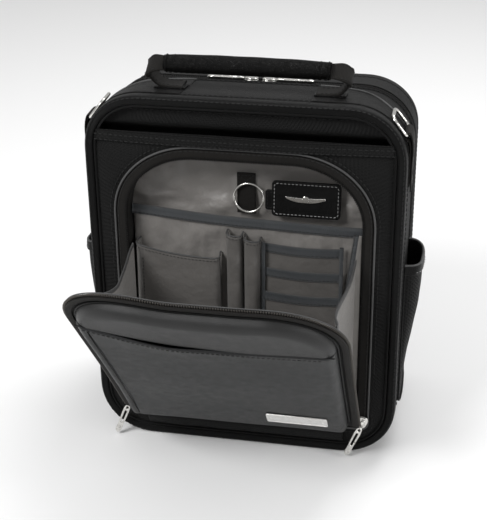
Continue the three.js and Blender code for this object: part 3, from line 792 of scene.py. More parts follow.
def build_gussets():
    for name, body, seed in (("front_gusset", "case", 21), ("rear_gusset", "rear_shell", 22)):
        low, high = span(name)
        grid = gusset_grid(0.15, 46.3, low[1], high[1], 22, 0.9, seed)
        piece = fit(sheet_of(name, grid, 3.6, "middle"), "ballistic_nylon", body, [name])
        for k, y in enumerate((low[1] + 3.2, high[1] - 3.2)):
            row = at_depth(over_top(-0.3, 46.3), y)
            fit(stitches(f"{name}_stitches_{k + 1}", row, (0, 1, 0)), "thread_dark", body)
    low, high = span("base_panel")
    outline = loop(HALF, 0, HEIGHT, CORNER_R, CORNER_R, CORNER_R)
    keep = outline[:, 1] <= CORNER_R + 0.01
    ring = outline[keep]
    ring = ring[np.lexsort((ring[:, 1] * -np.sign(ring[:, 0]), ring[:, 0]))]
    t = np.linspace(low[1], high[1], 20)
    grid = np.stack([np.broadcast_to(ring[:, None, 0], (len(ring), 20)),
            np.broadcast_to(t, (len(ring), 20)),
                     np.broadcast_to(ring[:, None, 1], (len(ring), 20))], -1)
    piece = fit(sheet_of("base_panel", sloped(grid), 3.6, (0, 0, -1)), "ballistic_nylon", "case",
            ["base_panel"])


def build_corner_yokes():
    """Smooth reinforcing panels over the top corners, from the handle's bases down to the strap rings."""
    outline = over_top(-0.9, 46.3)
    for word, side in (("left", -1), ("right", 1)):
        arc = outline[(outline[:, 0] * side > 50) & (outline[:, 1] > 286)]
        along = lengths(arc)
        t = along / along[-1]
        t = t if side > 0 else 1 - t
        rear = 4 - 40 * ease(t * 1.05)
        u = np.linspace(0, 1, 14)[None]
        y = -60 + (rear[:, None] + 60) * u
        grid = np.stack([np.broadcast_to(arc[:, None, 0], y.shape), y,
                np.broadcast_to(arc[:, None, 1], y.shape)], -1)
        grid = sloped(grid)
        piece = fit(sheet_of(f"corner_yoke_{word}", grid, 0.9, "middle"), "grip_leather")
        edge = grid[:, -1]
        fit(sweep(f"corner_yoke_piping_{word}", edge, oval(2.0, 2.0, 8)), "edge_piping_painted_highlight")
        row = grid[:, -1] - np.array([0, 3.0, 0])
        fit(stitches(f"corner_yoke_stitches_{word}", row + np.array([0, 0, 0.3]), (0, 1, 0), 2.4, 1.2,
                0.6), "thread_dark")


def build_main_zip():
    zip_y = (span("main_zip_tape_front")[1][1] + span("main_zip_tape_rear")[0][1]) / 2
    for name, body, side in (("main_zip_tape_front", "case", -1), ("main_zip_tape_rear", "rear_shell", 1)):
        low, high = span(name)
        grid = gusset_grid(0.7, 46.3, low[1], high[1], 5, 0.0, 1)
        fit(sheet_of(name, grid, 1.4, "middle"), "tape_webbing", body, [name])
        path = at_depth(over_top(-0.2, 46.3), zip_y + side * 1.3)
        coil = teeth(name.replace("tape", "coil"), path, (0, 1, 0), 3.0, 1.9, 0.25 * side)
        fit(coil, "tape_webbing", body)
        edge = at_depth(over_top(-0.2, 46.3), zip_y + side * 7.6)
        fit(sweep(name + "_piping", edge, oval(2.2, 2.2, 8)), "welt_binding", body)


def build_front_zip():
    path = at_depth(arch_loop(1.2), FRONT_Y - 1.0)
    fit(sweep("arch_piping", path, oval(2.0, 2.0, 8), closed=True), "edge_piping_painted_highlight", "case", ["arch_piping"])
    band = at_depth(arch_loop(7.2), FRONT_Y - 0.8)
    tape = sweep("arch_zip_tape", band, padded_section(1.3, 8.4, 12, 0.35), closed=True)
    fit(tape, "tape_webbing", "case", ["arch_zip_tape"])
    curve = over(ARCH_HALF - 10.6, ARCH_LOW + 12, ARCH_TOP - 10.6, ARCH_RX - 10.6, ARCH_RZ - 10.6)
    run = at_depth(curve, FRONT_Y - 1.9)
    fit(teeth("arch_zip_coil", run, (0, 1, 0), 2.6, 1.9, edgewise=True), "tape_webbing")
    row = stitches("arch_stitches", at_depth(arch_loop(-2.6), FRONT_Y - 0.7), (0, 1, 0), closed=True)
    fit(row, "thread_dark")
    row = stitches("arch_tape_stitches", at_depth(arch_loop(4.2), FRONT_Y - 1.5), (0, 1, 0), closed=True)
    fit(row, "thread_dark")


# ---------------------------------------------------------------- the organizer
def build_organizer_shell():
    low, high = span("organizer_lining")
    levels = np.linspace(15, 283, 60)
    width = half_at(levels, WELT + 6.5)
    u = np.linspace(-1, 1, 60)[:, None]
    grid = np.stack([u * width[None], np.full((60, 60), low[1] + 2.2), np.broadcast_to(levels, (60, 60))],
            -1)
    held = np.zeros((60, 60), bool)
    held[0] = held[-1] = held[:, 0] = held[:, -1] = True
    held |= np.abs(grid[..., 2] - 214) < 3
    held |= (np.abs(grid[..., 0] + 1) < 7) & (np.abs(grid[..., 2] - 234) < 16)
    grid = draped(grid, held, 0.035, 3.0)
    wave = np.sin((grid[..., 0] * 0.8 + grid[..., 2]) / 11 + ripple(grid, 80, 4) * 1.6)
    near = np.clip((grid[..., 2] - 214) / 12, 0, 1) * np.clip((276 - grid[..., 2]) / 12, 0, 1)
    grid[..., 1] += 2.1 * wave * near
    grid[..., 1] = np.clip(grid[..., 1], low[1] - 0.4, low[1] + 5)
    piece = sheet_of("organizer_lining", sloped(grid), 1.2, (0, -1, 0))
    fit(piece, "satin_lining", "case", ["organizer_lining"])

    low, high = span("organizer_wall")
    outline = arch_loop(9.6)
    y = np.linspace(low[1], high[1], 9)
    ring = np.stack([np.broadcast_to(outline[:, None, 0], (len(outline), 9)),
                     np.broadcast_to(y, (len(outline), 9)),
                     np.broadcast_to(outline[:, None, 1], (len(outline), 9))], -1)
    middle = ring - np.array([0, 0, 150.0])
    middle[..., 1] = 0
    middle /= np.linalg.norm(middle, axis=-1, keepdims=True)
    ring = ring + middle * (0.8 * ripple(ring, 30, 8) * np.sin(np.linspace(0, math.pi, 9)))[..., None]
    wall = sheet_of("organizer_wall", sloped(ring), 1.0, "middle", wrap=True)
    # The wall takes the dark tape finish: partly the real inner zip tape, partly painted shade in the gap
    # under the arch.
    fit(wall, "tape_webbing", "case", ["organizer_wall"])


def binding(name, path, look="pocket_binding", height=9.0, thick=2.2, body="case", lip=True, stands_for=()):
    """A bound pocket mouth: a folded tape along the path, with a bright lip above it and a bright line at its
    foot, both a painted highlight on the tape's folded edges.
    """
    down = path - np.array([0, 0, height / 2])
    tape = sweep(name, down, padded_section(thick, height, 14, 0.35), side=(0, 1, 0))
    fit(tape, look, body, stands_for)
    if lip:
        # Thin light lines on the tape's top and foot edges: painted highlight on its folds.
        above = path + np.array([0, -0.3, -0.2])
        fit(sweep(name + "_lip", above, oval(thick * 0.6, 0.9, 8)), "edge_piping_painted_highlight", body)
        below = path + np.array([0, -0.3, 0.3 - height])
        fit(sweep(name + "_foot", below, oval(thick * 0.6, 0.9, 8)), "edge_piping_painted_highlight", body)
    row = path + np.array([0, -thick / 2 - 0.15, -height + 1.6])
    fit(stitches(name + "_stitches", row, (0, 0, 1), 2.2, 1.1, 0.6), "thread_dark", body)
    return tape


def wide_mouth(x):
    """The wide pocket's mouth sits a little higher on the left and sags between its ends."""
    return 216 - 0.042 * x - 2.2 * (1 - (x / 98) ** 2)


def build_wide_pocket():
    low, high = span("wide_pocket")
    x = np.linspace(low[0], high[0], 56)
    top = wide_mouth(x) - 6
    t = np.linspace(0, 1, 46)
    z = low[2] + (top[:, None] - low[2]) * t[None]
    grid = np.stack([np.broadcast_to(x[:, None], z.shape), np.full(z.shape, low[1] + 0.2), z], -1)
    held = np.zeros(z.shape, bool)
    held[0] = held[-1] = held[:, 0] = held[:, -1] = True
    grid = draped(grid, held, 0.03, 2.6)
    fold = np.sin((grid[..., 0] - 1.3 * grid[..., 2]) / 9 + 2 * ripple(grid, 90, 33))
    grid[..., 1] = np.clip(grid[..., 1] + 0.6 + 0.7 * fold, low[1] - 0.3, low[1] + 4)
    piece = sheet_of("wide_pocket", grid, 1.0, (0, -1, 0))
    fit(piece, "satin_lining", "case", ["wide_pocket"])
    x = np.linspace(low[0] - 1, high[0] + 1, 60)
    path = np.stack([x, low[1] - 0.2 + 0.5 * np.sin(x / 17), wide_mouth(x)], 1)
    binding("wide_pocket_binding", path, stands_for=["wide_pocket_binding"])


def u_path(x0, x1, y_front, y_back, r, n=7):
    """A pocket's plan: out from the panel behind, round the front and back to it."""
    a = np.linspace(0, math.pi / 2, n)
    left = np.stack([x0 + r - r * np.cos(a), y_front + r - r * np.sin(a)], 1)
    right = np.stack([x1 - r + r * np.sin(a), y_front + r - r * np.cos(a)], 1)
    side = np.linspace(y_back, y_front + r, 6)[:-1]
    front = np.linspace(x0 + r, x1 - r, 14)[1:-1]
    return np.vstack([
        np.stack([np.full(5, x0), side], 1), left,
        np.stack([front, np.full(12, y_front)], 1), right,
        np.stack([np.full(5, x1), side[::-1]], 1),
    ])


def standing_pocket(name, r, mouth, puff, seed, pleat=0.0):
    """A gusseted pocket that stands off the panel behind it. `mouth` gives its top at each x."""
    low, high = span(name)
    plan = u_path(low[0], high[0], low[1], high[1], r)
    top = mouth(plan[:, 0])
    t = np.linspace(0, 1, 30)
    z = low[2] + (top[:, None] - low[2]) * t[None]
    grid = np.stack([np.broadcast_to(plan[:, None, 0], z.shape),
            np.broadcast_to(plan[:, None, 1], z.shape), z], -1).copy()
    along = lengths(np.column_stack([plan, np.zeros(len(plan))]))
    belly = np.sin(math.pi * along / along[-1])[:, None] * np.sin(math.pi * np.clip(t * 0.9, 0, 1))[None]
    grid[..., 1] -= puff * belly
    tuck = 1 - ease(t / 0.10)
    grid[..., 1] += (high[1] - 1.5 - grid[..., 1]) * 0.55 * tuck[None]
    crease = np.sin((grid[..., 0] + 0.9 * grid[..., 2]) / 7 + 2 * ripple(grid, 60, seed + 1))
    grid[..., 1] += (0.45 * ripple(grid, 24, seed) + 0.5 * crease) * (1 - t[None] ** 4)
    if pleat:
        side = np.exp(-((along - along[-1] * 0.5) / (along[-1] * 0.46)) ** 8)
        grid[..., 0] += pleat * (1 - side)[:, None] * np.sign(grid[..., 0] - (low[0] + high[0]) / 2) * -1
    piece = sheet_of(name, grid, 0.9, (0, -1, 0))
    # The pocket takes the darker satin copy: painted shade.
    fit(piece, "pocket_satin_painted_shade", "case", [name])
    edge = grid[:, -1].copy()
    lip = sweep(name + "_piping", edge + np.array([0, 0, 0.3]), oval(1.5, 1.7, 8), side=(0, 0, 1))
    fit(lip, "edge_piping_painted_highlight")
    row = edge - np.array([0, 0.5, 2.4])
    fit(stitches(name + "_hem_stitches", row, (0, 0, 1), 2.0, 1.1, 0.5), "thread_dark")


def build_small_pockets():
    phone = span("phone_pocket")

    def phone_mouth(x):
        t = (x - phone[0][0]) / (phone[1][0] - phone[0][0])
        return 189 - 8.5 * t - 2.5 * np.sin(math.pi * t)

    standing_pocket("phone_pocket", 5, phone_mouth, 2.0, 41, 2.0)
    seam = np.stack([np.full(40, phone[0][0] + 7), np.full(40, phone[0][1] - 1.2),
            np.linspace(64, 176, 40)], 1)
    fit(stitches("phone_pocket_stitches", seam, (1, 0, 0), 2.2, 1.1, 0.6), "thread_dark")
    for name, top, seed in (("pen_sleeve_left", 200, 42), ("pen_sleeve_right", 198, 43)):
        low, high = span(name)
        standing_pocket(name, 5.2, lambda x, top=top: top - 0.12 * x, 0.6, seed)
    for k, name in enumerate(("card_slot_top", "card_slot_middle", "card_slot_bottom")):
        low, high = span(name)
        x = np.linspace(low[0], high[0], 30)
        t = np.linspace(0, 1, 24)
        top = high[2] - 0.02 * (x - low[0]) - 1.6 * np.sin(math.pi * (x - low[0]) / (high[0] - low[0]))
        z = low[2] + (top[:, None] - 5 - low[2]) * t[None]
        grid = np.stack([np.broadcast_to(x[:, None], z.shape), np.full(z.shape, low[1] + 0.1), z],
                -1).copy()
        belly = np.sin(math.pi * (x - low[0]) / (high[0] - low[0]))[:, None] * t[None]
        grid[..., 1] -= 0.5 * belly + 0.12 * ripple(grid, 22, 50 + k)
        piece = sheet_of(name, grid, 0.8, (0, -1, 0))
        # The slot takes the darker satin copy: painted shade.
        fit(piece, "pocket_satin_painted_shade", "case", [name])
        path = np.stack([x, low[1] - 0.6 * np.sin(math.pi * (x - low[0]) / (high[0] - low[0])), top], 1)
        binding(name + "_binding", path, height=8.5, thick=1.5)
    low, high = span("card_slot_bottom")
    for name, x in (("card_slots_edge_left", low[0] - 0.6), ("card_slots_edge_right", high[0] + 0.8)):
        z = np.linspace(low[2], 195, 40)
        path = np.stack([np.full(40, x), np.full(40, low[1] - 0.4), z], 1)
        fit(sweep(name, path, padded_section(3.4, 1.2, 12, 0.5), side=(1, 0, 0)), "pocket_binding")
    build_tall_slot(high[0] + 3)


def build_tall_slot(x0):
    """A narrow document slot at the right, with a slanting bound edge."""
    back = span("wide_pocket")[0][1] - 0.5
    right = span("wide_pocket")[1][0] - 0.5
    z = np.linspace(42, 206, 40)
    left = np.where(z > 128, x0 + (z - 128) * 0.13, x0)
    u = np.linspace(0, 1, 12)[:, None]
    x = left[None] * (1 - u) + right * u
    grid = np.stack([x, back - 2.2 * np.sin(math.pi * u * 0.5) * np.ones_like(x) - 0.3,
            np.broadcast_to(z, x.shape)], -1)
    grid[..., 1] -= 0.4 * ripple(grid, 26, 61)
    piece = sheet_of("tall_slot", grid, 0.9, (0, -1, 0))
    fit(piece, "satin_lining", "case", ["tall_slot"])
    edge = grid[0] + np.array([0, -0.4, 0])
    fit(sweep("tall_slot_binding", edge, padded_section(4.2, 1.4, 12, 0.5), side=(1, 0, 0)),
            "pocket_binding")
    fit(sweep("tall_slot_piping", edge + np.array([-2.0, -0.3, 0]), oval(1.3, 1.3, 8), side=(1, 0, 0)),
            "edge_piping_painted_highlight")


# ---------------------------------------------------------------- key leash
def build_key_leash():
    low, high = span("key_leash_tab")
    z = np.linspace(low[2], high[2], 30)
    mid_x = (low[0] + high[0]) / 2
    for name, dy, stands in (("key_leash_tab", 0.0, ["key_leash_tab"]),):
        path = np.stack([np.full(30, mid_x), np.full(30, (low[1] + high[1]) / 2 + dy), z], 1)
        tab = sweep(name, path, padded_section(high[0] - low[0], high[1] - low[1], 14, 0.35),
                side=(1, 0, 0))
        fit(tab, "tape_webbing", "case", stands)
    box = [(low[0] + 2, high[2] - 12), (high[0] - 2, high[2] - 12), (high[0] - 2, high[2] - 2),
            (low[0] + 2, high[2] - 2)]
    lines = [(0, 1), (1, 2), (2, 3), (3, 0), (0, 2), (1, 3)]
    parts = []
    for a, b in lines:
        t = np.linspace(0, 1, 12)[:, None]
        flat = np.array(box[a]) * (1 - t) + np.array(box[b]) * t
        row = np.stack([flat[:, 0], np.full(12, low[1] - 0.1), flat[:, 1]], 1)
        parts.append(stitches("tab_row", row, (0, 0, 1), 1.9, 0.8, 0.6))
    fit(joined("key_leash_tab_stitches", *parts), "thread_dark")

    low, high = span("key_ring")
    joint = JOINTS["key_ring_swing"]
    foot = np.array(joint["pos_m"]) / MM
    centre = (low + high) / 2
    radius = (high[0] - low[0]) / 2 - 1.3
    lean = math.radians(5)
    up = np.array([0, math.sin(lean), math.cos(lean)])
    out = np.array([0, -math.cos(lean), math.sin(lean)])
    a = np.linspace(0, math.tau, 72, endpoint=False)[:, None]
    circle = centre + radius * (np.cos(a) * np.array([1, 0, 0]) + np.sin(a) * up)
    coils = [sweep("coil", circle + out * side * 0.62, oval(1.25, 1.9, 10), side=out,
            closed=True) for side in (-1, 1)]
    fit(joined("key_ring", *coils), "nickel", "key_ring", ["key_ring"])

    low, high = span("key_fob")
    tip_x, right_x = low[0], high[0]
    left_x = 21
    matrix = basis((1, 0, 0), up, out, (0, foot[1], foot[2]))
    tall = (high[2] - low[2]) - 0.3
    base = low[2] - foot[2]
    plate_line = rounded(left_x, base, right_x, base + tall, 3.5)
    body = plate("key_fob", [plate_line], 2.8, 0.8, matrix)
    neck = plate("neck", [rounded(tip_x, base + 5, left_x + 4, base + 22.5, 2.5)], 2.3, 0.7, matrix)
    mesh_parts = joined("key_fob", body, neck)
    fit(mesh_parts, "fob_leather", "key_fob", ["key_fob"])
    edge = np.array(rounded(left_x + 2.2, base + 2.2, right_x - 2.2, base + tall - 2.2, 2.5, 5))

    def lifted(line, n):
        line = np.asarray(line)
        return (np.array([0, foot[1], foot[2]]) + line[:, :1] * np.array([1, 0, 0]) + line[:,
                1:] * up + n * out)

    row = lifted(edge, 1.35)
    fit(stitches("key_fob_stitches", row, out, 2.0, 1.2, 0.55, closed=True), "thread_pale", "key_fob")
    neck_edge = np.array([(left_x - 0.5, base + 7), (tip_x + 2, base + 7), (tip_x + 2, base + 20.5),
            (left_x - 0.5, base + 20.5)])
    fit(stitches("key_fob_neck_stitches", lifted(neck_edge, 1.1), out, 2.0, 1.2, 0.45), "thread_dark",
            "key_fob")

    low, high = span("fob_badge")
    x0, x1 = low[0], high[0]
    mid = (x0 + x1) / 2
    half = (x1 - x0) / 2
    v = (low[2] + high[2]) / 2 - foot[2]
    t = np.linspace(-1, 1, 41)
    steps = 0.35 * np.abs(np.sin(t * math.pi * 7))
    blade = 2.1 * (1 - np.abs(t) ** 2.5) + 0.5
    top = [(mid + half * s, v + 2.2 - 0.4 * w) for s, w in zip(t, blade)]
    bottom = [(mid + half * s, v + 1.4 - 1.6 * w - r) for s, w, r in zip(t, blade, steps)][::-1]
    bar = plate("bar", [bottom + top][:1], 1.0, 0.3,
            basis((1, 0, 0), up, out, np.array([0, foot[1], foot[2]]) + out * 1.9))
    stud = plate("stud", [rounded(mid - 3, v - 3, mid + 3, v + 3, 2.99, 6)], 1.5, 0.5,
                 basis((1, 0, 0), up, out, np.array([0, foot[1], foot[2]]) + out * 2.1))
    fit(joined("fob_badge", bar, stud), "nickel", "key_fob", ["fob_badge"])


# ---------------------------------------------------------------- drop-down flap
HINGE = np.array(JOINTS["flap_hinge"]["pos_m"]) / MM
FLAP_OPEN = math.radians(-JOINTS["flap_hinge"]["range_deg"][0])
FLAP_UP = np.array([0, -math.sin(FLAP_OPEN), math.cos(FLAP_OPEN)])
FLAP_IN = np.array([0, math.cos(FLAP_OPEN), math.sin(FLAP_OPEN)])
FLAP_HALF = 103
FLAP_LENGTH = 250
FLAP_RX = 62
FLAP_RZ = 56
NOTCH_HALF = 88
NOTCH_TOP = 14
FACE_INSET = 8
FACE_FOOT = 26
FACE_OUT = 15


def on_flap(x, s, n):
    """World points of the open flap: x across, s up from the hinge, n inwards from its panel."""
    x, s, n = np.broadcast_arrays(np.asarray(x, float), s, n)
    corner = ease((np.abs(x) - 20) / 85) * ease((s - 80) / 160)
    loose = corner * (x < 0)
    x = x - 9 * loose
    s = s + 9 * loose
    n = n + 2.5 * corner + 3.0 * loose
    return HINGE + x[..., None] * np.array([1, 0, 0]) + s[..., None] * FLAP_UP + n[..., None] * FLAP_IN


def flap_limit(x, inset):
    """The flap's upper edge above the hinge line at each x, moved in by `inset`."""
    half, top = FLAP_HALF - inset, FLAP_LENGTH - inset
    rx, rz = FLAP_RX - inset, FLAP_RZ - inset
    beyond = np.clip((np.abs(x) - (half - rx)) / rx, 0, 1)
    return top - rz + rz * np.sqrt(1 - beyond ** 2)


def edge_distance(x, s, inset):
    """Distance in from the flap's side and top edges."""
    half, top = FLAP_HALF - inset, FLAP_LENGTH - inset
    rx, rz = FLAP_RX - inset, FLAP_RZ - inset
    dx, ds = np.abs(x) - (half - rx), s - (top - rz)
    corner = (1 - np.hypot(np.maximum(dx, 0) / rx, np.maximum(ds, 0) / rz)) * (rx + rz) / 2
    plain = np.minimum(half - np.abs(x), top - s)
    return np.where((dx > 0) & (ds > 0), corner, plain)


def pocket_mouth(x):
    """The mouth of the flap's slip pocket, level and rising a little to the left."""
    return 197 + 0.0012 * np.maximum(-10 - x, 0) ** 2


def dense_ends(n, low, high):
    t = np.sin(np.linspace(-1, 1, n) * math.pi / 2) * 0.5 + 0.5
    return low + (high - low) * (0.6 * t + 0.4 * np.linspace(0, 1, n))


def flap_sheet(inset, foot, n, seed, rough=0.3):
    """A grid over the whole flap, one column for each x."""
    x = dense_ends(54, -(FLAP_HALF - inset), FLAP_HALF - inset)
    limit = flap_limit(x, inset)
    low = np.where(np.abs(x) > NOTCH_HALF, NOTCH_TOP, foot)
    t = dense_ends(40, 0, 1)
    s = low[:, None] + (limit - low)[:, None] * t[None]
    xs = np.broadcast_to(x[:, None], s.shape)
    wave = rough * ripple(np.stack([xs, s], -1), 60, seed)
    return xs, s, n + wave


def roll(distance, radius):
    """0 at an edge rising to 1 at `radius` in from it, as a quarter round."""
    t = 1 - np.clip(distance / radius, 0, 1)
    return np.sqrt(np.maximum(1 - t ** 2.2, 0))


def build_flap():
    outward = -FLAP_IN
    xs, s, n = flap_sheet(1.2, 2, -3.0, 71, 0.2)
    piece = sheet_of("flap_panel", on_flap(xs, s, n), 2.8, outward)
    fit(piece, "ballistic_nylon", "flap", ["flap_panel"])
    xs, s, n = flap_sheet(4, 2.3, 0.5, 72, 0.2)
    piece = sheet_of("flap_lining", on_flap(xs, s, n + 0.9), 1.0, FLAP_IN)
    fit(piece, "satin_lining", "flap", ["flap_lining"])
    build_flap_face(outward)
    build_flap_zip()
    low, high = 29, 80
    s0, s1 = 48, 66
    name_matrix = basis((1, 0, 0), FLAP_UP, outward, on_flap(0, 0, -FACE_OUT - 0.75))
    base = plate("rim", [rounded(low, s0, high, s1, 1.6)], 1.0, 0.35, name_matrix)
    rim_hole = rounded(low + 1.6, s0 + 1.6, high - 1.6, s1 - 1.6, 1.0)
    lifted = basis((1, 0, 0), FLAP_UP, outward, on_flap(0, 0, -FACE_OUT - 1.2))
    rim = plate("frame", [rounded(low, s0, high, s1, 1.6), rim_hole], 0.7, 0.25, lifted)
    dots = [plate("rivet", [rounded(x - 0.9, 56.1, x + 0.9, 57.9, 0.89)], 0.9, 0.3,
            lifted) for x in (low + 3.6, high - 3.6)]
    fit(joined("nameplate", base, rim, *dots), "satin_steel", "flap", ["nameplate"])
    fold_y = np.array([-70.9, -72.8, -75.2, -76.8, -77.0, -76.2])
    fold_z = np.array([10.5, 13.0, 16.5, 21.5, 26.5, 30.5])
    x = np.linspace(-NOTCH_HALF, NOTCH_HALF, 50)[:, None]
    grid = np.stack([np.broadcast_to(x, (50, 6)), np.broadcast_to(fold_y, (50, 6)),
            np.broadcast_to(fold_z, (50, 6))], -1).copy()
    grid[..., 1] += 0.4 * ripple(grid, 24, 75)
    piece = fit(sheet_of("flap_hinge_fold", grid, 1.6, (0, -1, 0)), "welt_binding", "case",
            ["flap_hinge_fold"])


def build_flap_face(outward):
    """The padded vinyl face: a lower panel whose upper edge is a pocket mouth, and a band above it."""
    half = FLAP_HALF - FACE_INSET
    x = dense_ends(76, -half, half)
    limit = flap_limit(x, FACE_INSET)
    mouth = pocket_mouth(x)
    top = np.minimum(mouth, limit)
    t = dense_ends(60, 0, 1)
    s = FACE_FOOT + (top - FACE_FOOT)[:, None] * t[None]
    xs = np.broadcast_to(x[:, None], s.shape)
    rim = np.minimum(roll(edge_distance(xs, s, FACE_INSET), 7), roll(s - FACE_FOOT, 5))
    lip = 0.86 + 0.14 * roll(mouth[:, None] - s, 2.5)
    gape = np.exp(-((xs + 35) / 30) ** 2) * np.clip(1 - (mouth[:, None] - s) / 22, 0, 1) ** 2
    groove = np.exp(-((edge_distance(xs, s, FACE_INSET) - 9.5) / 1.1) ** 2) * (xs < 0)
    wave = 0.5 * ripple(np.stack([xs, s], -1), 75, 81)
    n = -3.4 - (FACE_OUT - 3.6) * rim * lip - (1.6 * gape + wave - 0.8 * groove) * rim
    piece = sheet_of("flap_face", on_flap(xs, s, n), 1.2, outward)
    fit(piece, "flap_leather", "flap", ["flap_face"])

    open_x = x[(mouth < limit - 1.5)]
    edge = on_flap(open_x, pocket_mouth(open_x) - 0.2, -3.4 - (FACE_OUT - 3.9) * 0.93
                   - 1.5 * np.exp(-((open_x + 35) / 30) ** 2))
    fit(sweep("flap_pocket_lip", edge, oval(1.2, 1.2, 8), side=FLAP_IN), "flap_leather", "flap")
    row_x = np.linspace(open_x[0] + 2, half - 12, 80)
    row = on_flap(row_x, pocket_mouth(row_x) - 3.6,
            -FACE_OUT - 0.2 - 0.9 * np.exp(-((row_x + 35) / 30) ** 2))
    fit(stitches("flap_pocket_stitches", row, FLAP_UP, 2.6, 1.2, 0.6), "thread_dark", "flap")

    low = pocket_mouth(x) - 9
    keep = low < limit - 2.5
    x, limit, low, mouth = x[keep], limit[keep], low[keep], mouth[keep]
    t = dense_ends(26, 0, 1)
    s = low[:, None] + (limit - low)[:, None] * t[None]
    xs = np.broadcast_to(x[:, None], s.shape)
    rim = roll(edge_distance(xs, s, FACE_INSET), 9)
    below = np.clip((mouth[:, None] + 4 - s) / 9, 0, 1)
    deep = 0.8 + 3.8 * np.exp(-((xs + 35) / 30) ** 2)
    n = -3.4 - (FACE_OUT - 4.2) * rim + deep * below ** 1.5 * rim - 0.4 * ripple(np.stack([xs, s], -1),
            60, 83) * rim
    piece = sheet_of("flap_upper_band", on_flap(xs, s, n), 1.0, outward)
    # The band takes the lighter copy of the vinyl: painted sheen.
    fit(piece, "band_leather_painted_sheen", "flap", ["flap_upper_band"])

    curve = over(FLAP_HALF - FACE_INSET - 9.5, FACE_FOOT + 8, FLAP_LENGTH - FACE_INSET - 9.5,
                 FLAP_RX - FACE_INSET - 9.5, FLAP_RZ - FACE_INSET - 9.5)
    seam_line = curve[(curve[:, 1] < pocket_mouth(curve[:, 0]) - 2)]
    part = seam_line[seam_line[:, 0] < 0]
    path = on_flap(part[:, 0], part[:, 1], -FACE_OUT - 0.15)
    fit(sweep("flap_face_seam", path, oval(0.9, 0.9, 8), side=FLAP_IN), "welt_binding", "flap")
    skirt = over(half + 0.4, FACE_FOOT + 2, FLAP_LENGTH - FACE_INSET + 0.4, FLAP_RX - FACE_INSET,
            FLAP_RZ - FACE_INSET)
    path = on_flap(skirt[:, 0], skirt[:, 1], -4.0)
    fit(sweep("flap_face_piping", path, oval(2.2, 2.2, 8), side=FLAP_IN), "welt_binding", "flap")


def build_flap_zip():
    outline = over(FLAP_HALF - 2.5, NOTCH_TOP + 2, FLAP_LENGTH - 2.5, FLAP_RX - 2.5, FLAP_RZ - 2.5)
    path = on_flap(outline[:, 0], outline[:, 1], -3.9)
    tape = sweep("flap_zip_tape", path, padded_section(1.3, 5.4, 12, 0.35), side=FLAP_IN)
    fit(tape, "tape_webbing", "flap", ["flap_zip_tape"])
    edge = over(FLAP_HALF + 0.4, NOTCH_TOP + 2, FLAP_LENGTH + 0.4, FLAP_RX, FLAP_RZ)
    run = on_flap(edge[:, 0], edge[:, 1], -2.6)
    fit(teeth("flap_zip_coil", run, FLAP_IN, 3.0, 1.9, edgewise=True), "zip_coil", "flap")
    line = on_flap(edge[:, 0], edge[:, 1], -0.8)
    fit(sweep("flap_edge_piping", line, oval(1.1, 1.1, 8), side=FLAP_IN), "edge_piping_painted_highlight", "flap")


def build_flap_gussets():
    for name, side in (("flap_gusset_left", -1), ("flap_gusset_right", 1)):
        low, high = span(name)
        x = (low[0] + high[0]) / 2
        b = np.linspace(0, 1, 44)
        a = np.linspace(0, 1, 36)
        near = np.stack([np.full(44, x), np.full(44, FRONT_Y - 3.4), 52 + 138 * b], 1)
        far = on_flap(np.full(44, x), 22 + 190 * b, 3.2)
        grid = near[None] * (1 - a)[:, None, None] + far[None] * a[:, None, None]
        slack = np.sin(math.pi * a)[:, None]
        grid[..., 2] -= 16 * slack * (b ** 3)[None]
        grid[..., 0] -= side * (7 * np.sin(math.pi * a) ** 2)[:, None] * np.sin(b * math.pi * 0.6)[None]
        grid[..., 0] += 1.3 * ripple(grid, 40, 90 + side) * slack
        piece = sheet_of(name, grid, 0.9, (side, 0, 0))
        piece.data.materials.clear()
        piece.data.materials.append(LOOK["satin_lining"])
        edge = grid[:, -1]
        bound = sweep(name + "_binding", edge, padded_section(5.0, 1.6, 12, 0.5), side=(0, 0, 1))
        bound.data.materials.append(LOOK["edge_piping_painted_highlight"])
        for cloth_piece, slot in ((piece, "satin_lining"), (bound, "welt_binding")):
            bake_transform(cloth_piece)
        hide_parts(name)


# ---------------------------------------------------------------- main compartment, rear shell
def build_rear_panel():
    low, high = span("rear_panel")
    levels = dense_ends(60, WELT + 0.5, HEIGHT - WELT - 0.5)
    width = half_at(levels, WELT + 0.5)
    u = dense_ends(60, -1, 1)[:, None]
    x = u * width[None]
    z = np.broadcast_to(levels, x.shape)
    inset = np.minimum(width[None] - np.abs(x), np.minimum(z - 8.5, HEIGHT - 8.5 - z))
    puff = roll(inset, 26)
    rows = [70, 138, 206]
    channel = sum(np.exp(-((z - row) / 2.6) ** 2) for row in rows)
    frame_seam = np.exp(-((inset - 15) / 1.4) ** 2)
    inner = ease((inset - 15) / 6)
    y = high[1] - 3.4 + 3.2 * puff - 1.9 * channel * inner - 1.2 * frame_seam + 0.35 * ripple(np.stack([x,
            z], -1), 50, 95)
    piece = sheet_of("rear_panel", sloped(np.stack([x, y, z], -1)), 3.0, (0, 1, 0))
    fit(piece, "ballistic_nylon", "rear_shell", ["rear_panel"])
    for k, row in enumerate(rows):
        line_x = np.linspace(-98, 98, 60)
        flat = np.stack([line_x, np.full(60, high[1] - 1.9), np.full(60, float(row))], 1)
        fit(stitches(f"rear_quilting_{k + 1}", sloped(flat), (0, 0, 1)), "thread_dark", "rear_shell")
    ring = case_loop(WELT + 15.5)
    fit(stitches("rear_border_stitches", at_depth(ring, high[1] - 1.1), (0, 1, 0), closed=True),
            "thread_dark", "rear_shell")
    for name, body in (("back_board", "rear_shell"), ("base_board", "case")):
        board = frame["nodes"][name]
        board.data.materials.clear()
        board.data.materials.append(LOOK["stiffener_board"])


